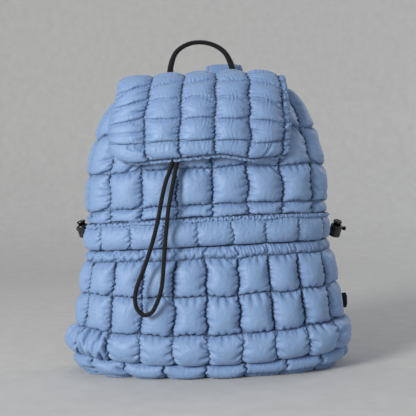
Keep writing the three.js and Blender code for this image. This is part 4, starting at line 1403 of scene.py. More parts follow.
@dataclass
class BagForm:
    """Sizes of the bag and the surfaces that its seams lie on."""

    body_height: float = 0.348
    half_width: float = 0.165
    front_depth: float = 0.081
    back_depth: float = 0.062
    front_roundness: float = 2.2
    back_roundness: float = 3.2
    cloth_wall: float = 0.003
    puff: float = 0.011
    side_lift: float = 0.010
    slump: float = 0.026
    layer_gap: float = 0.0016
    pocket_height: float = 0.1587
    band_seat: float = 0.001
    band_height: float = 0.034
    wrap_reach: float = 0.9
    # Levels of the seams as shares of the body's height
    base_top: float = 0.052
    roll_top: float = 0.155
    middle: float = 0.287
    gather: float = 0.414
    first_body: float = 0.601
    second_body: float = 0.727
    third_body: float = 0.856

    def __post_init__(self) -> None:
        """Measures the sections that the quilting is laid out on."""
        self.band_bottom = self.pocket_height + self.band_seat
        self.band_top = self.band_bottom + self.band_height
        self.pocket_arcs = self.measure(self.pocket_sizes(np.array(self.middle * self.body_height)))
        self.body_arcs = self.measure(self.body_sizes(np.array(self.second_body * self.body_height)))

    def sizes(self, form: Table, height: np.ndarray) -> tuple[np.ndarray, ...]:
        """Half width, front depth and back depth at a height, from one of the tables."""
        table = np.array(form)
        share = height / self.body_height
        scale = (self.half_width, self.front_depth, self.back_depth)
        return tuple(size * np.interp(share, table[:, 0], table[:, k + 1]) for k, size in enumerate(scale))

    def pocket_sizes(self, height: np.ndarray) -> tuple[np.ndarray, ...]:
        """Section of the pocket's seam surface at a height."""
        return self.sizes(POCKET_FORM, height)

    def body_sizes(self, height: np.ndarray) -> tuple[np.ndarray, ...]:
        """Section of the body's seam surface, which lies inside the pocket as far as that reaches."""
        inset = self.cloth_wall + self.layer_gap
        inside = [size - inset for size in self.pocket_sizes(height)]
        above = self.sizes(BODY_FORM, height)
        return tuple(np.where(height > self.pocket_height, a, b) for a, b in zip(above, inside))

    def outline(self, sizes: tuple[np.ndarray, ...], angle: np.ndarray) -> tuple[np.ndarray, np.ndarray]:
        """Side and depth of a section's outline: angle 0 is the middle of the front."""
        half, front, back = sizes
        sine, cosine = np.sin(angle), np.cos(angle)
        in_front = cosine > 0
        power = np.where(in_front, 2 / self.front_roundness, 2 / self.back_roundness)
        x = half * np.sign(sine) * np.abs(sine) ** power
        y = -np.where(in_front, front, back) * np.sign(cosine) * np.abs(cosine) ** power
        return x, y

    def settled(self, x: np.ndarray, height: np.ndarray) -> np.ndarray:
        """Height of a point: the lowest seams rise at the sides, and the right side stands higher."""
        side = np.minimum(1, np.abs(x) / self.half_width)
        firm = np.minimum(1, height / self.pocket_height)
        table = np.array(SIDE_RISE)
        lift = self.side_lift * np.interp(height / self.body_height, table[:, 0], table[:, 1])
        return height + lift * side**2 + self.slump * x * firm

    def layer(self, sizes_at: Callable, grow: float, angle: np.ndarray, height: np.ndarray) -> Points:
        """Points of a layer of the bag.

        Args:
            sizes_at: Gives the section at a height.
            grow: How far the layer lies outside it.
            angle: Angles round the bag.
            height: Heights up it.

        Returns:
            The points.
        """
        x, y = self.outline(tuple(size + grow for size in sizes_at(height)), angle)
        return np.stack([x, y, self.settled(x, height)], axis=-1)

    def measure(self, sizes: tuple[np.ndarray, ...]) -> dict:
        """Lengths of arc of a section from the middle of the front, by angle.

        Args:
            sizes: The section.

        Returns:
            Its angles, arcs, and the arcs of the widest point, the side seam and the back's middle.
        """
        angles = np.linspace(0, math.pi, 721)
        x, y = self.outline(sizes, angles)
        arcs = np.concatenate([[0], np.cumsum(np.hypot(np.diff(x), np.diff(y)))])
        widest = arcs[np.nonzero(y < 0)[0][-1]]
        seam = arcs[np.nonzero((y < 0) | (x > self.wrap_reach * sizes[0]))[0][-1]]
        return {"angles": angles, "arcs": arcs, "widest": widest, "seam": seam, "half": arcs[-1]}

    def angle_of(self, measured: dict, arc: np.ndarray) -> np.ndarray:
        """Angle at a length of arc, past the back's middle as well."""
        size = np.abs(arc)
        near = np.interp(size, measured["arcs"], measured["angles"])
        far = FULL_TURN - np.interp(2 * measured["half"] - size, measured["arcs"], measured["angles"])
        return np.sign(arc) * np.where(size <= measured["half"], near, far)

    def pocket_surface(self, arc: np.ndarray, height: np.ndarray) -> Points:
        """Seam surface of the pocket."""
        return self.layer(self.pocket_sizes, 0.0, self.angle_of(self.pocket_arcs, arc), height)

    def body_surface(self, arc: np.ndarray, height: np.ndarray) -> Points:
        """Seam surface of the body and of the back."""
        return self.layer(self.body_sizes, 0.0, self.angle_of(self.body_arcs, arc), height)

    def band_surface(self, arc: np.ndarray, height: np.ndarray) -> Points:
        """Surface that the pocket's band lies on."""
        grow = self.cloth_wall + self.layer_gap
        return self.layer(self.body_sizes, grow, self.angle_of(self.pocket_arcs, arc), height)

    def back_face(self, x: np.ndarray, height: np.ndarray) -> np.ndarray:
        """Depth of the back's outer face behind the middle, filling included."""
        half, _, back = self.body_sizes(np.minimum(height, self.body_height))
        share = np.minimum(1, np.abs(x) / half)
        return back * (1 - share**self.back_roundness) ** (1 / self.back_roundness) + 0.0053

    def heights(self, *shares: float) -> list[float]:
        """Heights of seams that are given as shares of the body's height."""
        return [share * self.body_height for share in shares]


# Pieces of the bag


@dataclass
class Part:
    """A sub-assembly of the bag, with the form that it follows and its materials."""

    form: BagForm
    finishes: Finishes


@dataclass
class BasePanel(Part):
    """Padded base: flat where it stands, its quilted rim rolled up to the lowest seam."""

    pitch: float = 0.046
    phase: float = -0.007
    puff: float = 0.0075
    floor_puff: float = 0.001
    # Shares of the section's length: its level seams, and the end of its flat middle
    levels: tuple = (0, 0.5, 0.64, 0.83, 1)
    flat_share: float = 0.5
    middle_size: float = 0.03
    # Arcs between which the roll's seam is held loosely, and the hold there and elsewhere
    loose_arcs: tuple[float, float] = (0.03, 0.2)
    loose_hold: float = 0.2
    firm_hold: float = 0.97
    # Share of the section's length, millimetres outside the seam line, rise and share of the sides' lift
    section: Table = (
        (0.0, -34, 0.0, 0.0), (0.5, -34, 0.0, 0.0), (0.77, -10, 0.22, 0.35), (0.92, 1.5, 0.62, 0.8),
        (1.0, 0, 1.0, 1.0),
    )
    length: float = 0.09

    def surface(self, arc: np.ndarray, length: np.ndarray) -> Points:
        """Seam surface of the base, from its middle below to the seam round it.

        Args:
            arc: Length round the bag.
            length: Length along the section.

        Returns:
            The points.
        """
        table = np.array(self.section)
        share = length / self.length
        top = self.form.base_top * self.form.body_height
        out, rise, lift = (np.interp(share, table[:, 0], table[:, k]) for k in (1, 2, 3))
        shrink = np.interp(share, [0, self.flat_share], [self.middle_size, 1])
        sizes = tuple(size + out / MM_PER_M for size in self.form.pocket_sizes(np.array(top)))
        x, y = self.form.outline(sizes, self.form.angle_of(self.form.pocket_arcs, arc))
        x, y = x * shrink, y * shrink
        return np.stack([x, y, rise * top + lift * (self.form.settled(x, np.array(top)) - top)], axis=-1)

    def build(self) -> None:
        """Sews the base and lets it rest on the floor."""
        half = self.form.pocket_arcs["half"]
        columns = quilt_places(-half, half, self.pitch, self.phase)
        rows = [share * self.length for share in self.levels]
        boxes = len(columns) - 1
        puff = np.tile([0.0, self.floor_puff, self.puff, self.puff], (boxes, 1))
        middles = (np.array(columns[:-1]) + np.array(columns[1:])) / 2
        row_hold = np.zeros((boxes, len(rows)))
        loose = (middles > self.loose_arcs[0]) & (middles < self.loose_arcs[1])
        row_hold[:, 3] = np.where(loose, self.loose_hold, self.firm_hold)
        quilt = Quilt(
            self.surface, columns, rows, puff, seed=41, column_hold=np.array([0, 0, 0.15, 0.15]),
            row_hold=row_hold, slack_across=1.3, slack_along=1.1, gathered=(0, 1), steps=(30, 16, 8),
        ).sew()
        quilt.fabric[..., 2] = np.maximum(quilt.fabric[..., 2], FLOOR_SKIN)
        piece = quilt.piece("base_cloth", self.form.cloth_wall)
        dress(piece, self.finishes.nylon, Slot.NYLON, "base_panel")


@dataclass
class BagBody(Part):
    """Quilted body, front and back."""

    pitch: float = 0.0422
    phase: float = 0.0065
    seam_gap: float = 0.0016
    band_gap: float = 0.0006
    # Fullness of the row above the band, against the others, and of the back
    first_share: float = 0.62
    back_puff: float = 0.005 * 1.25

    def build(self) -> None:
        """Sews the front and the back."""
        form = self.form
        edge = form.body_arcs["seam"] - self.seam_gap / 2
        columns = quilt_places(-edge, edge, self.pitch, self.phase)
        rows = [
            form.pocket_height,
            form.band_top + self.band_gap,
            *form.heights(form.first_body, form.second_body, form.third_body, 1.0),
        ]
        boxes = len(columns) - 1
        puff = np.tile([0.0, self.first_share * form.puff, form.puff, form.puff, form.puff], (boxes, 1))
        front = Quilt(
            form.body_surface, columns, rows, puff, seed=7, column_hold=np.array([0, 0.2, 0.1, 0.1, 0.1]),
            row_hold=np.full(len(rows), 0.12), slack_across=np.tile([1, 1.6, 1.0, 1.0, 1.0], (boxes, 1)),
            slack_along=1.0, gathered=(0,),
        ).sew()
        piece = front.piece("body_cloth", form.cloth_wall)
        dress(piece, self.finishes.nylon, Slot.NYLON, "body_wrap")
        start = form.body_arcs["seam"] + self.seam_gap / 2
        end = 2 * form.body_arcs["half"] - start
        columns = quilt_places(start, end, self.pitch, (start + end) / 2)
        rows = form.heights(
            form.base_top, form.roll_top, form.middle, form.gather, form.first_body, form.second_body,
            form.third_body, 1.0,
        )
        puff = np.full((len(columns) - 1, len(rows) - 1), self.back_puff)
        back = Quilt(
            form.body_surface, columns, rows, puff, seed=23, slack_across=2.0, slack_along=2.0, cell=0.0058,
            steps=(34, 18, 8), row_hold=np.full(len(rows), 0.2),
        ).sew()
        piece = back.piece("back_cloth", form.cloth_wall)
        dress(piece, self.finishes.nylon, Slot.NYLON, "back_panel")


@dataclass
class FrontPocket(Part):
    """Wide outer pocket: a full lowest roll, two rows of boxes and a gathered row under its band."""

    pitch: float = 0.0386
    phase: float = -0.0035
    roll_puff: float = 0.020
    corner_puff: float = 0.032
    right_corner_puff: float = 0.025
    gather_puff: float = 0.0062
    seam_gap: float = 0.0003
    base_gap: float = 0.0006
    # Left and right ends of the gathered row: its share of that fullness, and its extra cloth
    gather_swell: tuple[float, float] = (1.25, 0.6)
    bunched: tuple[float, float] = (2.6, 1.2)
    bunched_across: float = 1.2
    # Slack across and along of the roll's boxes at the corners
    left_slack: tuple[float, float] = (0.42, 1.1)
    right_slack: tuple[float, float] = (0.26, 0.85)

    def build(self) -> None:
        """Sews the pocket."""
        form = self.form
        edge = form.pocket_arcs["seam"] - self.seam_gap / 2
        columns = quilt_places(-edge, edge, self.pitch, self.phase)
        rows = [*form.heights(form.base_top, form.roll_top, form.middle, form.gather), form.pocket_height]
        rows[0] += self.base_gap
        boxes = len(columns) - 1
        puff = np.tile([self.roll_puff, form.puff, form.puff, self.gather_puff], (boxes, 1))
        puff[:, 3] *= np.linspace(*self.gather_swell, boxes)
        hold = np.array([0.42, 0.1, 0.1, 0.0])
        bunched = np.linspace(*self.bunched, boxes)[:, None]
        across = np.hstack([np.tile([0.16, 1.0, 1.0], (boxes, 1)), bunched * self.bunched_across])
        along = np.tile([0.60, 0.95, 0.95, 0.6], (boxes, 1))
        for corner, full, slack in (
            (slice(1, 3), self.corner_puff, self.left_slack),
            (slice(-4, -1), self.right_corner_puff, self.right_slack),
        ):
            puff[corner, 0] = full
            across[corner, 0], along[corner, 0] = slack
        quilt = Quilt(
            form.pocket_surface, columns, rows, puff, seed=101, column_hold=hold,
            row_hold=np.array([0, 0.1, 0.12, 0.12, 0]), slack_across=across, slack_along=along, gathered=(3,),
            seam_depth=1.06,
        ).sew()
        piece = quilt.piece("pocket_cloth", form.cloth_wall)
        dress(piece, self.finishes.nylon, Slot.NYLON, "pocket_wrap")


@dataclass
class PocketBand(Part):
    """Gathered casing that draws the pocket in."""

    end_past: float = 0.008
    puff: float = 0.0125
    pitch: float = 0.0432
    phase: float = -0.0128
    casing: float = 0.84
    # Fullness of the gathered row above the cord, and of both end boxes, against the others
    upper_share: float = 0.42
    end_share: float = 0.7
    # Extra cloth of the first boxes from the left and of the last, and how much more the upper row has
    bunched: tuple = (0.34, 0.26, 0.12, 0.05, 0.045)
    upper_more: float = 0.12

    @property
    def end_arc(self) -> float:
        """Arc from the middle of the front to the band's ends."""
        return self.form.pocket_arcs["widest"] + self.end_past

    def build(self) -> None:
        """Sews the band, bunched at the left and smoother to the right."""
        form = self.form
        columns = quilt_places(-self.end_arc, self.end_arc, self.pitch, self.phase)
        rows = [form.band_bottom, form.band_bottom + self.casing * form.band_height, form.band_top]
        boxes = len(columns) - 1
        number = np.arange(boxes)
        ends = np.where((number == 0) | (number == boxes - 1), self.end_share, 1.0)
        puff = ends[:, None] * np.array([self.puff, self.upper_share * self.puff])[None, :]
        bunched = np.interp(number, [0, 1, 2, 3, boxes], self.bunched)
        wide = np.diff(columns)[:, None]
        across = np.stack([bunched, bunched + self.upper_more], axis=-1) / (DOME_EXCESS * (puff / wide) ** 2)
        quilt = Quilt(
            form.band_surface, columns, rows, puff, seed=301, column_hold=np.array([0.5, 1.0]),
            row_hold=np.array([0, 0.62, 0]), slack_across=across, slack_along=0.55, gathered=(1,),
            cell=0.0040, seam_depth=1.06, pucker=0.0007,
        ).sew()
        piece = quilt.piece("band_cloth", form.cloth_wall)
        dress(piece, self.finishes.nylon, Slot.NYLON, "pocket_band")


@dataclass
class MouthCollar(Part):
    """Gathered lining that closes the top of the body round its drawn mouth."""

    half_width: float = 0.058
    half_depth: float = 0.022
    wall: float = 0.0012
    rise: float = 0.0028
    sink: float = 0.007
    fold_depth: float = 0.001575
    fold_pitch: float = 0.017
    fold_seed: int = 77
    # Share of the way in by which the folds are deep, as one over it
    fold_growth: float = 1.5
    girth: float = 0.5
    places_round: int = 361
    places_in: int = 13
    thin_out: int = 4
    # Lengths of the weave for one radian round and for the way in
    weave_scale: tuple[float, float] = (0.07, 0.04)

    def build(self) -> None:
        """Builds the collar."""
        form = self.form
        angles = np.linspace(0, FULL_TURN, self.places_round)[:, None]
        share = np.linspace(0, 1, self.places_in)[None, :]
        half, front, back = form.body_sizes(np.array(form.body_height))
        inset = form.cloth_wall / 2
        sizes = tuple(
            (outer - inset) * (1 - share) + inner * share
            for outer, inner in ((half, self.half_width), (front, self.half_depth), (back, self.half_depth))
        )
        x, y = form.outline(sizes, angles)
        turn = np.linspace(0, 1, self.places_round)
        folds = ripple(self.girth * turn, self.fold_pitch, self.fold_seed)
        folds = folds - turn * (folds[-1] - folds[0])
        rise = form.body_height + self.rise - self.sink * share**2
        deep = self.fold_depth * folds[:, None] * np.minimum(1, self.fold_growth * share)
        points = np.stack([x, y, rise + form.slump * x + deep], axis=-1)[:, ::-1]
        lining = (points - np.array([0, 0, self.wall]))[:: self.thin_out, :: self.thin_out]
        run, reach = self.weave_scale
        weave = np.stack(np.broadcast_arrays(angles * run, share[:, ::-1] * reach), axis=-1)
        loft = np.full(points.shape[:2], 0.5)
        piece = lined_mesh("collar_cloth", points[::-1], lining[::-1], self.thin_out, weave=weave, loft=loft)
        dress(piece, self.finishes.lining, Slot.LINING, "mouth_collar")


@dataclass
class Flap(Part):
    """Padded flap over the mouth, with a gathered hem below and a ruched hem at the right."""

    left: float = 0.118
    right: float = 0.101
    rise: float = 0.021
    fall: float = 0.083
    stand_off: float = 0.0225
    back_stand_off: float = 0.012
    hem: float = 0.018
    rows: int = 8
    # For the front, the hem, the left column (None where it is as the front) and the ruched hem:
    # fullness of the boxes, hold of the level seams, and extra cloth across and along
    puffs: tuple = (0.0085, 0.0052, None, 0.0042)
    holds: tuple = (0.5, 0.45, 0.62, 0.9)
    extra_across: tuple = (0.075, 0.12, None, 0.12)
    extra_along: tuple = (0.17, 0.12, 0.30, 0.40)
    ridge_puff: float = 0.0052
    ridge_rows: tuple[int, int] = (4, 7)
    stitch: float = 0.0034
    facing_peek: float = 0.0042
    facing_hidden: float = 0.010
    facing_inset: float = 0.002
    facing_gap: float = 0.0008
    facing_wall: float = 0.0011
    facing_wave: float = 0.0007
    facing_curl: float = 0.0006
    wrap_power: float = 2.3
    wrap: float = 0.025
    back_wrap: float = 0.007
    crown: float = 0.009
    left_crown: float = 0.003
    seams: tuple = (0, 0.205, 0.395, 0.582, 0.77, 0.958, 1)
    # Depth as a share of the depth there, then the height: the fall below or the rise above the edge
    line: Table = (
        (-1.02, -1.0), (-1.0, -0.73), (-0.955, -0.44), (-0.86, -0.14), (-0.7, 0.36), (-0.46, 0.84),
        (-0.16, 1.0), (0.32, 1.0), (0.68, 0.88), (0.86, 0.45), (0.85, 0.08),
    )
    # Share of the width, then how far the hem's lower edge hangs there, as a share of the hem
    hem_line: Table = ((0, -0.15), (0.12, 0.26), (0.35, 0.08), (0.62, -0.22), (0.8, 0.06), (1, -0.3))
    # Share of the length, then the left and the right edge as shares of their sizes
    edges: Table = (
        (0, 0.93, 0.965), (0.03, 0.985, 1.0), (0.2, 0.99, 1.03), (0.45, 0.895, 1.0), (0.7, 0.87, 0.97),
        (0.9, 0.8, 0.86), (1, 0.7, 0.78),
    )

    def __post_init__(self) -> None:
        """Measures the middle line."""
        form = self.form
        front = form.body_sizes(np.array(form.body_height - self.fall))[1] + self.stand_off
        back = form.body_sizes(np.array(form.body_height))[2] + self.back_stand_off
        knots = [
            (
                0.0,
                depth * (front if depth < 0 else back),
                form.body_height + up * (self.fall if up < 0 else self.rise),
            )
            for depth, up in self.line
        ]
        self.middle = smooth_curve(np.array(knots), 0.0005)
        self.tangent = unit(np.gradient(self.middle, axis=0))
        self.length = float(path_lengths(self.middle)[-1])
        self.width = self.left + self.right

    def surface(self, across: np.ndarray, length: np.ndarray) -> Points:
        """Seam surface of the flap.

        Args:
            across: Length from the left edge.
            length: Length from the hem's lower edge.

        Returns:
            The points.
        """
        share = across / self.width
        known = path_lengths(self.middle) / self.length
        along = np.clip(length / self.length, 0, 1)
        middle = np.stack([np.interp(along, known, self.middle[:, k]) for k in range(3)], axis=-1)
        tangent = unit(np.stack([np.interp(along, known, self.tangent[:, k]) for k in range(3)], axis=-1))
        out = np.stack([np.zeros_like(along), -tangent[..., 2], tangent[..., 1]], axis=-1)
        table = np.array(self.edges)
        left = -self.left * np.interp(along, table[:, 0], table[:, 1])
        right = self.right * np.interp(along, table[:, 0], table[:, 2])
        offset = np.abs(2 * share - 1)
        on_top = np.maximum(0, out[..., 2]) ** 2
        wrap = np.where(along < 0.5, self.wrap, self.back_wrap)
        crown = np.where(share < 0.5, self.left_crown, self.crown)
        bend = crown * on_top * offset**4 + wrap * (1 - on_top) * offset**self.wrap_power
        point = middle - bend[..., None] * out
        point[..., 0] = left + share * (right - left)
        hang = np.array(self.hem_line)
        low = np.interp(share, hang[:, 0], hang[:, 1]) * self.hem * np.exp(-((length / self.hem) ** 2))
        level = np.interp(along, [0, 0.24, 0.42], [-1.0, -0.5, 1.0])
        point[..., 2] += self.form.slump * level * point[..., 0] - low
        return point

    @staticmethod
    def spread(shape: tuple[int, int], hem_row: int, values: tuple) -> np.ndarray:
        """Values for the flap's boxes or for its level seams.

        Args:
            shape: How many there are across and along.
            hem_row: Number of the hem's row.
            values: For the front, the hem, the left column and the ruched hem.

        Returns:
            The grid of values.
        """
        front, hem, left, ruched = values
        grid = np.full(shape, front)
        grid[:, hem_row] = hem
        if left is not None:
            grid[0] = left
        grid[-1] = ruched
        return grid

    def build(self) -> None:
        """Sews the flap, its stitch lines and the facing that shows under its hem."""
        columns = [share * self.width for share in self.seams]
        rows = [0.0, *np.linspace(self.hem, self.length, self.rows + 1).tolist()]
        shape = (len(columns) - 1, len(rows) - 1)
        puff = self.spread(shape, 0, self.puffs)
        puff[:-1, slice(*self.ridge_rows)] = self.ridge_puff
        wide, high = np.diff(columns)[:, None], np.diff(rows)[None, :]
        quilt = Quilt(
            self.surface, columns, rows, puff, seed=211, column_hold=np.full(shape[1], 0.06),
            row_hold=self.spread((shape[0], shape[1] + 1), 1, self.holds), seam_depth=0.97,
            slack_across=self.spread(shape, 0, self.extra_across) / (DOME_EXCESS * (puff / wide) ** 2),
            slack_along=self.spread(shape, 0, self.extra_along) / (DOME_EXCESS * (puff / high) ** 2),
            cell=0.0044, pucker=0.0008, wander=0.0010,
        ).sew()
        piece = quilt.piece("flap_cloth", self.form.cloth_wall)
        dress(piece, self.finishes.nylon, Slot.NYLON, "flap")
        out = grid_normals(quilt.fabric)
        row = int(np.argmin(np.abs(quilt.v[0] - self.hem)))
        column = int(np.argmin(np.abs(quilt.u[:, 0] - columns[-2])))
        parts = stitch_line(quilt.fabric[:, row], out[:, row], self.stitch)
        parts += stitch_line(quilt.fabric[column, row:], out[column, row:], self.stitch)
        dress(joined("flap_stitches", parts), self.finishes.thread, Slot.NYLON)
        self.face()

    def face(self) -> None:
        """Builds the thin facing that peeks out under the hem."""
        across = np.linspace(self.facing_inset, self.width - self.facing_inset, 241)[:, None]
        down = np.linspace(-self.facing_peek, self.facing_hidden, 13)[None, :]
        flat_across, flat_down = np.broadcast_arrays(across, np.maximum(down, 0))
        base = self.surface(flat_across, flat_down)
        out = grid_normals(base + np.array([0, 0, 1e-4]) * down[..., None])
        drop = np.minimum(down, 0) + self.facing_wave * ripple(across, 0.013, 5) * (down < 0)
        points = base - out * (self.form.cloth_wall + self.facing_gap)
        points[..., 2] += drop
        near_edge = np.exp(-((down + self.facing_peek) / 0.004) ** 2)
        points += out * (self.facing_curl * ripple(across, 0.007, 9) * near_edge)[..., None]
        lining = (points - self.facing_wall * out)[::4, ::4]
        weave = np.stack(np.broadcast_arrays(across, down), axis=-1)
        # Painted shadow of the hem: the seam colour is laid over the facing where it lies under the hem
        seam = np.clip((down + 0.0026) / 0.0012, 0, 1) * np.ones_like(across)
        loft = np.zeros_like(seam)
        piece = lined_mesh("flap_facing", points, lining, 4, weave=weave, seam_across=seam, loft=loft)
        dress(piece, self.finishes.nylon, Slot.NYLON)


@dataclass
class GrabHandle(Part):
    """Webbing rolled to a smooth grip, with flat stitched feet on the back."""

    left: float = -0.046
    right: float = 0.041
    rise: float = 0.079
    back: float = 0.016
    width: float = 0.011
    thickness: float = 0.0056
    foot_width: float = 0.018
    foot_thickness: float = 0.0034
    # Places of the two rows of stitches in each foot, and the length of a stitch
    foot_rows: tuple[float, float] = (-0.006, 0.006)
    stitch: float = 0.0026
    # Powers that shape the section: of the change to the roll, of the flat feet and what the roll adds
    roll_power: float = 0.7
    flat_power: float = 0.62
    round_power: float = 0.3
    # Depth, angle and width of the groove where the roll laps over itself
    lap: tuple[float, float, float] = (0.10, 4.1, 0.16)
    # Side as a share of half the span, rise and depth as shares of their sizes
    line: Table = (
        (-1, -0.16, 0), (-1, -0.03, 0.3), (-1.01, 0.14, 0.9), (-1.0, 0.36, 1), (-0.96, 0.62, 1),
        (-0.78, 0.85, 1), (-0.42, 0.975, 1), (-0.05, 1.0, 1), (0.35, 0.95, 1), (0.7, 0.82, 1),
        (0.9, 0.62, 1), (1.0, 0.36, 1), (1.01, 0.14, 0.9), (1, -0.03, 0.3), (1, -0.16, 0),
    )

    def outline(self, angles: np.ndarray, share: float) -> tuple[np.ndarray, np.ndarray]:
        """Section of the webbing at a share of its length.

        Args:
            angles: Angles round it.
            share: Share of its length.

        Returns:
            Lengths along its two axes.
        """
        rolled = math.sin(math.pi * min(1.0, max(0.0, share))) ** self.roll_power
        deep = self.foot_thickness + (self.width - self.foot_thickness) * rolled
        wide = self.foot_width + (self.thickness - self.foot_width) * rolled
        power = self.flat_power + self.round_power * rolled
        across, over = rounded(angles, power, power)
        depth, place, width = self.lap
        lap = 1 - depth * rolled * np.exp(-(((angles - place) / width) ** 2))
        return deep / 2 * across * lap, wide / 2 * over * lap

    def build(self) -> None:
        """Builds the handle and the stitches of its feet."""
        form = self.form
        middle, half = (self.left + self.right) / 2, (self.right - self.left) / 2
        knots = []
        for side, rise, back in self.line:
            x = middle + side * half
            y = float(form.back_face(np.array(x), np.array(form.body_height)))
            y += self.foot_thickness / 2 + back * self.back
            knots.append((x, y, form.body_height + rise * self.rise + form.slump * x))
        path = smooth_curve(np.array(knots), 0.0016)
        piece = tube_mesh("handle_webbing", path, (0, 1, 0), self.outline, 32)
        dress(piece, self.finishes.webbing, Slot.WEBBING, "grab_handle")
        parts = []
        for foot in (path[:8], path[-8:]):
            out = np.tile([0.0, 1.0, 0.0], (len(foot), 1))
            for side in self.foot_rows:
                line = foot + np.array([side, self.foot_thickness / 2 + SKIN, 0])
                parts += stitch_line(line, out, self.stitch)
        dress(joined("handle_stitches", parts), self.finishes.webbing, Slot.WEBBING)


@dataclass
class ShoulderStrap(Part):
    """Padded strap with its buckle, its webbing and the tab in the side seam."""

    hand: Hand
    # Side, depth and height as shares of the spread, the bow and the body's height
    line: Table
    reach_out: float
    reach_back: float
    spread: float = 0.088
    bow: float = 0.050
    width: float = 0.049
    thickness: float = 0.010
    taper: float = 0.42
    thinning: float = 0.25
    # Powers that shape its edges and faces
    powers: tuple[float, float] = (0.72, 0.62)
    # Place, width and depth of the stitched groove along each edge, as shares
    groove: tuple[float, float, float] = (0.80, 0.05, 0.45)
    # Height and rates of the slow waves in the padding
    wave: float = 0.05
    wave_rates: tuple[float, float] = (150, 61)
    webbing_width: float = 0.020
    webbing_thickness: float = 0.0016
    adjuster_length: float = 0.024
    anchor_level: float = 0.066
    anchor_seam_height: float = 0.024
    anchor_tip_height: float = 0.014
    anchor_thickness: float = 0.0026

    def path(self) -> Points:
        """Middle line of the padded strap."""
        form = self.form
        knots = []
        for side, back, height in self.line:
            x = self.hand.value * side * self.spread
            z = height * form.body_height
            y = float(form.back_face(np.array(x), np.array(z))) + self.thickness / 2 + back * self.bow
            knots.append((x, y, z + form.slump * x))
        return smooth_curve(np.array(knots), 0.0022)

    def outline(self, angles: np.ndarray, share: float) -> tuple[np.ndarray, np.ndarray]:
        """Section of the padded strap: full in the middle, stitched flat near both edges.

        Args:
            angles: Angles round it.
            share: Share of its length.

        Returns:
            Lengths along its two axes.
        """
        lower = share**4
        wide = self.width / 2 * (1 - self.taper * lower)
        deep = self.thickness / 2 * (1 - self.thinning * lower)
        across, over = rounded(angles, *self.powers)
        place, width, depth = self.groove
        groove = 1 - depth * np.exp(-(((np.abs(across) - place) / width) ** 2))
        edges, tilt = (math.sin(share * rate + turn) for turn, rate in enumerate(self.wave_rates))
        pads = 1 + self.wave * (edges * across**2 + tilt * across)
        return wide * across, deep * over * groove * pads

    def build(self) -> None:
        """Builds the strap and what hangs on its lower end."""
        word = self.hand.word
        path = self.path()
        piece = tube_mesh(f"strap_pad_{word}", path, (1, 0, 0), self.outline, 56)
        dress(piece, self.finishes.nylon, Slot.NYLON, f"shoulder_strap_{word}")
        _, side, up = frames_along(path, (1, 0, 0))
        share = np.linspace(0, 1, len(path))[:, None]
        parts = []
        for edge in (-1, 1):
            line = path + edge * side * 0.40 * self.width * (1 - self.taper * share**4)
            for face in (-1, 1):
                lift = face * up * 0.5 * self.thickness * 0.44 * (1 - self.thinning * share**4)
                parts += stitch_line((line + lift)[3:-2], (face * up)[3:-2], 0.0040, 0.00032)
        dress(joined(f"strap_stitches_{word}", parts), self.finishes.thread, Slot.NYLON)
        self.webbing(path)

    def webbing(self, path: Points) -> None:
        """Builds the webbing, the tab and the tab's stitches.

        Args:
            path: Middle line of the padded strap.
        """
        form, word, hand = self.form, self.hand.word, self.hand.value
        along = unit(path[-1] - path[-2])
        arc = hand * form.pocket_arcs["seam"]
        root = form.pocket_surface(np.array(arc), np.array(self.anchor_level))
        root = root + np.array([0, self.anchor_thickness / 2 + 0.0006, 0])
        tip = root + np.array([hand * self.reach_out, self.reach_back, 0])
        outward = unit(tip - root)
        apart = (self.anchor_thickness + self.webbing_thickness) / 2 + 0.0003
        behind = hand * np.cross([0, 0, 1], outward) * apart
        start = path[-1] + along * (self.adjuster_length + 0.0006)
        middle = root + 0.35 * (tip - root) + 2.2 * behind
        bow = start + 0.5 * (middle - start) + np.array([0, 0.004, -0.010])
        knots = np.array([start, start + along * 0.012, bow, middle, tip + behind])

        flat = flat_outline(self.webbing_width, self.webbing_width, self.webbing_thickness)
        band = tube_mesh(f"webbing_{word}", smooth_curve(knots, 0.0020), (0, 0, 1), flat, 28)
        dress(band, self.finishes.webbing, Slot.WEBBING, f"strap_webbing_{word}")
        flat = flat_outline(self.anchor_seam_height, self.anchor_tip_height, self.anchor_thickness)
        line = smooth_curve(np.array([root, (root + tip) / 2, tip]), 0.0020)
        tab = tube_mesh(f"anchor_tab_{word}", line, (0, 0, 1), flat, 28)
        dress(tab, self.finishes.webbing, Slot.WEBBING, f"strap_anchor_{word}")
        up = np.array([0.0, 0.0, 1.0])
        face = unit(np.cross(outward, up)) * hand
        parts = []
        for level in (-0.0045, 0.0045):
            ends = np.array([root + 0.45 * (tip - root), root + 0.92 * (tip - root)]) + level * up
            ends = ends + face * (self.anchor_thickness / 2 + SKIN)
            parts += stitch_line(np.linspace(ends[0], ends[1], 12), np.tile(face, (12, 1)), 0.0028)
        dress(joined(f"tab_stitches_{word}", parts), self.finishes.webbing, Slot.WEBBING)


def round_edges(node: bpy.types.Object, width: float, material: bpy.types.Material) -> None:
    """Finishes a plain moulded solid: soft edges and its own material.

    Args:
        node: The solid's object.
        width: Width of the rounding.
        material: Its finish.
    """
    node.data.materials.clear()
    node.data.materials.append(material)
    bevel = node.modifiers.new("soft_edges", "BEVEL")
    bevel.width = width
    bevel.segments = 3
    bevel.limit_method = "ANGLE"
    bevel.angle_limit = math.radians(40)
    LOG.info("%s: kept, with soft edges", node.name)


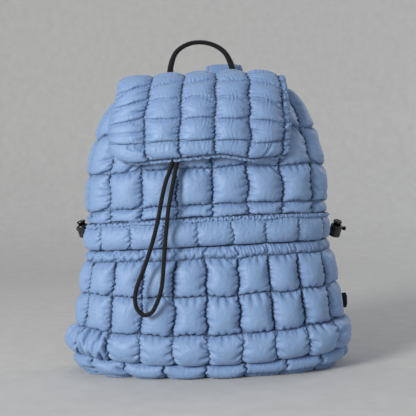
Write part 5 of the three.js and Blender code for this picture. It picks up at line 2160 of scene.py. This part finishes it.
def braid_outline(radius: float, strands: int, path_length: float) -> Callable:
    """Section of a round braided cord, whose strands wind both ways.

    Args:
        radius: Of the cord.
        strands: Strands each way.
        path_length: Length of the cord.

    Returns:
        The outline for a tube.
    """

    def outline(angles: np.ndarray, share: float) -> tuple[np.ndarray, np.ndarray]:
        """Section at a share of the cord's length."""
        turn = share * path_length / (radius * 2.1) * math.pi
        one = np.cos(strands * angles / 2 + turn * strands / 4)
        two = np.cos(strands * angles / 2 - turn * strands / 4)
        size = radius * (0.955 + 0.06 * np.maximum(np.abs(one), np.abs(two)))
        return size * np.cos(angles), size * np.sin(angles)

    return outline


@dataclass
class Drawcord:
    """One loop of braided cord out of the mouth, hanging in front."""

    finishes: Finishes
    diameter: float = 0.005
    # Route of the middle line, from the hidden lock and back to it
    route: Table = (
        (-0.0395, -0.0363, 0.3548), (-0.0401, -0.0440, 0.3550), (-0.0406, -0.0520, 0.3525),
        (-0.0409, -0.0596, 0.3460), (-0.0408, -0.0665, 0.3350), (-0.0402, -0.0734, 0.3170),
        (-0.0392, -0.0792, 0.2940), (-0.0382, -0.0824, 0.2720), (-0.0410, -0.0846, 0.2550),
        (-0.0475, -0.0872, 0.2380), (-0.0525, -0.0896, 0.2190), (-0.0570, -0.0916, 0.1970),
        (-0.0625, -0.0926, 0.1750), (-0.0685, -0.0934, 0.1560), (-0.0765, -0.0944, 0.1340),
        (-0.0840, -0.0950, 0.1160), (-0.0872, -0.0950, 0.1005), (-0.0842, -0.0950, 0.0875),
        (-0.0766, -0.0950, 0.0815), (-0.0686, -0.0950, 0.0840), (-0.0618, -0.0950, 0.0950),
        (-0.0562, -0.0950, 0.1110), (-0.0530, -0.0944, 0.1350), (-0.0510, -0.0932, 0.1570),
        (-0.0486, -0.0924, 0.1800), (-0.0456, -0.0910, 0.2040), (-0.0406, -0.0880, 0.2290),
        (-0.0362, -0.0852, 0.2500), (-0.0316, -0.0826, 0.2720), (-0.0310, -0.0792, 0.2940),
        (-0.0306, -0.0734, 0.3170), (-0.0302, -0.0666, 0.3350), (-0.0302, -0.0598, 0.3460),
        (-0.0306, -0.0520, 0.3525), (-0.0310, -0.0440, 0.3550), (-0.0316, -0.0363, 0.3548),
    )

    def build(self) -> None:
        """Builds the cord."""
        path = smooth_curve(np.array(self.route), 0.0008)
        length = float(path_lengths(path)[-1])
        hint = np.tile([0.0, -1.0, 0.0], (len(path), 1))
        piece = tube_mesh(
            "mouth_drawcord", path, unit(hint + np.array([1e-3, 0, -0.9]) * (path[:, 2:] > 0.3405)),
            braid_outline(self.diameter / 2, 12, length), 36,
        )
        dress(piece, self.finishes.cord, Slot.CORD, "drawcord")


@dataclass
class SideLock(Part):
    """Spring cord lock at one end of the band, on a short knotted cord."""

    hand: Hand
    # Rise up the band, the barrel's lean outward and the turn of its cord, in radians
    rise: float
    lean: float
    turn: float
    band_end: float
    radius: float = 0.0076
    plunger_radius: float = 0.0046
    head_radius: float = 0.0058
    head: float = 0.0025
    above: float = 0.0062
    below: float = 0.0098
    travel: float = 0.003
    clearance: float = 0.00035
    well_floor: float = 0.0019
    stem_inside: float = 0.0012
    stand_off: float = 0.017
    cord_diameter: float = 0.003
    tail: float = 0.009
    end_offset: float = 0.0028

    def frame(self) -> tuple[Points, Points, Points, Points]:
        """Middle of the lock and the directions of its barrel, its cord and across both."""
        hand = self.hand.value
        height = self.form.band_bottom + self.rise * self.form.band_height
        end = self.form.band_surface(np.array(hand * self.band_end), np.array(height))
        cord = np.array([hand * math.sin(self.turn), math.cos(self.turn), 0.0])
        outward = np.array([cord[1] * hand, -cord[0] * hand, 0.0])
        barrel = np.array([0, 0, math.cos(self.lean)]) + outward * math.sin(self.lean)
        across = np.cross(barrel, cord)
        place = end + np.array([hand * self.end_offset, 0, 0]) + cord * self.stand_off
        return place, barrel, cord, across

    def turned(self, name: str, profile: Table, fluted: float) -> bpy.types.Object:
        """A turned form on the barrel's axis, with fine flutes on its side.

        Args:
            name: Name of the piece.
            profile: Radius and height of each ring, in millimetres.
            fluted: Depth of the flutes as a share of the radius.

        Returns:
            The new object.
        """
        place, barrel, cord, across = self.frame()
        angles = np.linspace(0, FULL_TURN, TURNED_SIDES, endpoint=False)
        flutes = 0.5 + 0.5 * np.cos(FLUTES * angles)
        rings = []
        for radius, height, grooved in profile:
            size = radius / MM_PER_M * (1 - fluted * grooved * flutes)
            ring = size[:, None] * (np.cos(angles)[:, None] * across + np.sin(angles)[:, None] * cord)
            rings.append(place + ring + height / MM_PER_M * barrel)
        return make_piece(name, np.vstack(rings), ring_faces(len(profile), TURNED_SIDES))

    def build_cord(self) -> None:
        """Builds the short cord through the lock and the knot at its end."""
        word = self.hand.word
        place, barrel, cord, across = self.frame()
        length = self.stand_off - 0.0003 + self.radius + self.tail
        start = place - cord * (self.stand_off - 0.0003)
        path = start + np.linspace(0, length, 56)[:, None] * cord
        piece = tube_mesh(
            f"band_cord_{word}", path, tuple(barrel), braid_outline(self.cord_diameter / 2, 8, length), 24
        )
        dress(piece, self.finishes.cord, Slot.CORD, f"lock_cord_{word}")
        turns = np.linspace(0, FULL_TURN * 2.2, 60)
        size = 0.0014
        middle = start + cord * (length - 0.0042)
        wound = (
            middle
            + cord * (0.0036 * turns / turns[-1])[:, None]
            + size * (np.cos(turns)[:, None] * across + np.sin(turns)[:, None] * barrel)
        )
        knot = tube_mesh(f"band_knot_{word}", wound, tuple(cord), braid_outline(0.00125, 8, 0.02), 20)
        dress(knot, self.finishes.cord, Slot.CORD)

    def build(self) -> None:
        """Builds the barrel and the plunger."""
        word = self.hand.word
        r, low, top = self.radius * 1000, -self.below * 1000, self.above * 1000
        well = (self.plunger_radius + self.clearance) * 1000
        barrel = self.turned(f"lock_barrel_cap_{word}", (
            (0.2, low, 0), (r - 2.4, low, 0), (r - 1.2, low + 0.15, 0), (r - 0.45, low + 0.6, 0),
            (r, low + 1.5, 0),
            (r, low + 2.4, 0), (r, low + 3.0, 1), (r, top - 3.0, 1), (r, top - 2.4, 0), (r, top - 1.2, 0),
            (r - 0.4, top - 0.4, 0), (r - 1.1, top, 0), (well + 0.3, top, 0), (well, top - 0.25, 0),
            (well, self.well_floor * 1000, 0),
        ), 0.045)
        dress(barrel, self.finishes.plastic, Slot.PLASTIC, f"lock_barrel_{word}")
        p, h = self.plunger_radius * 1000, self.head_radius * 1000
        base = top + (self.travel + self.clearance) * 1000
        crown = base + self.head * 1000
        hidden = top - self.stem_inside * 1000
        plunger = self.turned(f"lock_plunger_cap_{word}", (
            (0.2, hidden, 0), (p, hidden, 0), (p, base, 0), (h - 0.3, base, 0), (h, base + 0.4, 0),
            (h, base + 1.1, 0), (h - 0.35, crown - 0.5, 0), (h - 1.2, crown - 0.1, 0), (h - 2.4, crown, 0),
            (h - 3.0, crown - 0.25, 0), (0.2, crown - 0.35, 0),
        ), 0.0)
        dress(plunger, self.finishes.plastic, Slot.PLASTIC, f"lock_plunger_{word}", body=f"plunger_{word}")


# Studio and camera


@dataclass(frozen=True)
class Lamp:
    """A soft square light."""

    name: str
    place: tuple[float, float, float]
    aim: tuple[float, float, float]
    size: float
    power: float
    colour: tuple[float, float, float]

    def build(self) -> None:
        """Puts the light into the scene."""
        data = bpy.data.lights.new(self.name, "AREA")
        data.size = self.size
        data.energy = self.power
        data.color = self.colour
        lamp = bpy.data.objects.new(self.name, data)
        lamp.location = self.place
        lamp.rotation_euler = (Vector(self.aim) - Vector(self.place)).to_track_quat("-Z", "Y").to_euler()
        bpy.context.scene.collection.objects.link(lamp)


@dataclass
class Studio:
    """Pale floor, soft light and the camera at the photograph's angle."""

    camera_place: tuple[float, float, float] = (0.001, -1.08, 0.226)
    pitch: float = -1.22
    roll: float = -1.5
    film: float = 36
    # Focal length and width of the photograph, in its own pixels
    focal: tuple[float, float] = (844, 416)
    floor_reach: float = 14
    floor_places: int = 15
    # Depth and height of the floor
    floor_line: Table = ((-14, 0), (-1, 0), (1.2, 0), (1.6, 0.05), (1.9, 0.25), (2.0, 0.6), (2.0, 9.0))
    floor_grain: float = 35.0
    floor_tones: tuple[float, float] = (0.35, 0.65)
    floor_darker: tuple = rgb(0.56, 0.555, 0.54)
    floor_paler: tuple = rgb(0.60, 0.595, 0.58)
    floor_roughness: float = 0.85
    air: tuple = rgb(0.86, 0.9, 1.0)
    air_light: float = 0.28
    lamps: tuple[Lamp, ...] = (
        Lamp("key", (-1.6, -1.8, 1.0), (0, 0, 0.2), 0.8, 59, (1.0, 0.985, 0.96)),
        Lamp("fill", (1.6, -1.7, 0.9), (0, 0, 0.2), 1.8, 5, (0.93, 0.96, 1.0)),
        Lamp("top", (-0.5, 0.4, 2.2), (0, 0, 0.2), 1.4, 5, (1.0, 1.0, 1.0)),
        Lamp("rear", (1.9, 1.2, 1.2), (0, 0, 0.2), 0.9, 12, (0.95, 0.97, 1.0)),
    )

    def build_camera(self) -> None:
        """Sets the camera."""
        data = bpy.data.cameras.new("photo_camera")
        data.sensor_width = self.film
        data.lens = self.focal[0] / self.focal[1] * self.film
        data.clip_start = 0.02
        camera = bpy.data.objects.new("photo_camera", data)
        tilt = Matrix.Rotation(math.radians(90 + self.pitch), 4, "X")
        turn = tilt @ Matrix.Rotation(math.radians(self.roll), 4, "Z")
        camera.matrix_world = Matrix.Translation(self.camera_place) @ turn
        bpy.context.scene.collection.objects.link(camera)
        bpy.context.scene.camera = camera

    def build_room(self) -> None:
        """Lays the floor, which rises far behind the bag, and lights it."""
        side = np.linspace(-self.floor_reach, self.floor_reach, self.floor_places)
        points = np.array([(x, y, z) for x in side for y, z in self.floor_line])
        sweep = make_piece("studio_floor", points, grid_faces(len(side), len(self.floor_line)))
        paint, wires, shader = new_material("PaleFloor")
        tone = wires.span(wires.noise(wires.place(), self.floor_grain, 5.0, 0.6), *self.floor_tones)
        colour = wires.mix(tone, self.floor_darker, self.floor_paler)
        wires.join(shader, {"Base Color": colour, "Roughness": self.floor_roughness})
        sweep.data.materials.append(paint)
        world = bpy.data.worlds.new("studio_air")
        world.use_nodes = True
        air = world.node_tree.nodes["Background"]
        Wiring(world.node_tree).join(air, {"Color": self.air, "Strength": self.air_light})
        bpy.context.scene.world = world
        bpy.context.scene.view_settings.view_transform = "Standard"
        for lamp in self.lamps:
            lamp.build()


RIGHT_STRAP: Table = (
    (0.29, 0, 0.785), (0.29, 0, 0.85), (0.29, 0.14, 0.95), (0.3, 0.36, 1.01), (0.305, 0.5, 1.075),
    (0.315, 0.66, 1.13), (0.34, 0.9, 1.122), (0.4, 1.12, 1.03), (0.5, 1.14, 0.88), (0.68, 1.0, 0.68),
    (0.86, 0.74, 0.5), (1.0, 0.5, 0.36),
)
LEFT_STRAP: Table = (
    (0.29, 0, 0.775), (0.29, 0, 0.83), (0.29, 0.14, 0.93), (0.3, 0.4, 0.995), (0.31, 0.55, 1.03),
    (0.325, 0.73, 1.045), (0.35, 0.94, 1.03), (0.42, 1.12, 0.955), (0.53, 1.12, 0.82),
    (0.71, 0.98, 0.64), (0.87, 0.73, 0.475), (1.0, 0.5, 0.345),
)


def main() -> None:
    """Builds the studio and the bag, piece by piece."""
    logging.basicConfig(level=logging.INFO, format="%(message)s")
    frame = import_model()
    studio = Studio()
    studio.build_camera()
    form = BagForm()
    finishes = Finishes.build()
    Drawcord(finishes).build()
    band = PocketBand(form, finishes)
    locks = [
        SideLock(form, finishes, Hand.LEFT, rise=0.78, lean=0.3, turn=0.6, band_end=band.end_arc),
        SideLock(form, finishes, Hand.RIGHT, rise=0.3, lean=0.42, turn=1.0, band_end=band.end_arc),
    ]
    for lock in locks:
        lock.build_cord()
    for lock in locks:
        lock.build()
    BasePanel(form, finishes).build()
    BagBody(form, finishes).build()
    FrontPocket(form, finishes).build()
    band.build()
    MouthCollar(form, finishes).build()
    Flap(form, finishes).build()
    GrabHandle(form, finishes).build()
    ShoulderStrap(form, finishes, Hand.RIGHT, RIGHT_STRAP, reach_out=0.037, reach_back=0.007).build()
    ShoulderStrap(form, finishes, Hand.LEFT, LEFT_STRAP, reach_out=0.017, reach_back=0.035).build()
    for node in ("mouth_cord_lock", "strap_adjuster_left", "strap_adjuster_right"):
        round_edges(frame["nodes"][node], 0.0006, finishes.plastic)
    studio.build_room()


if __name__ == "__main__":
    main()
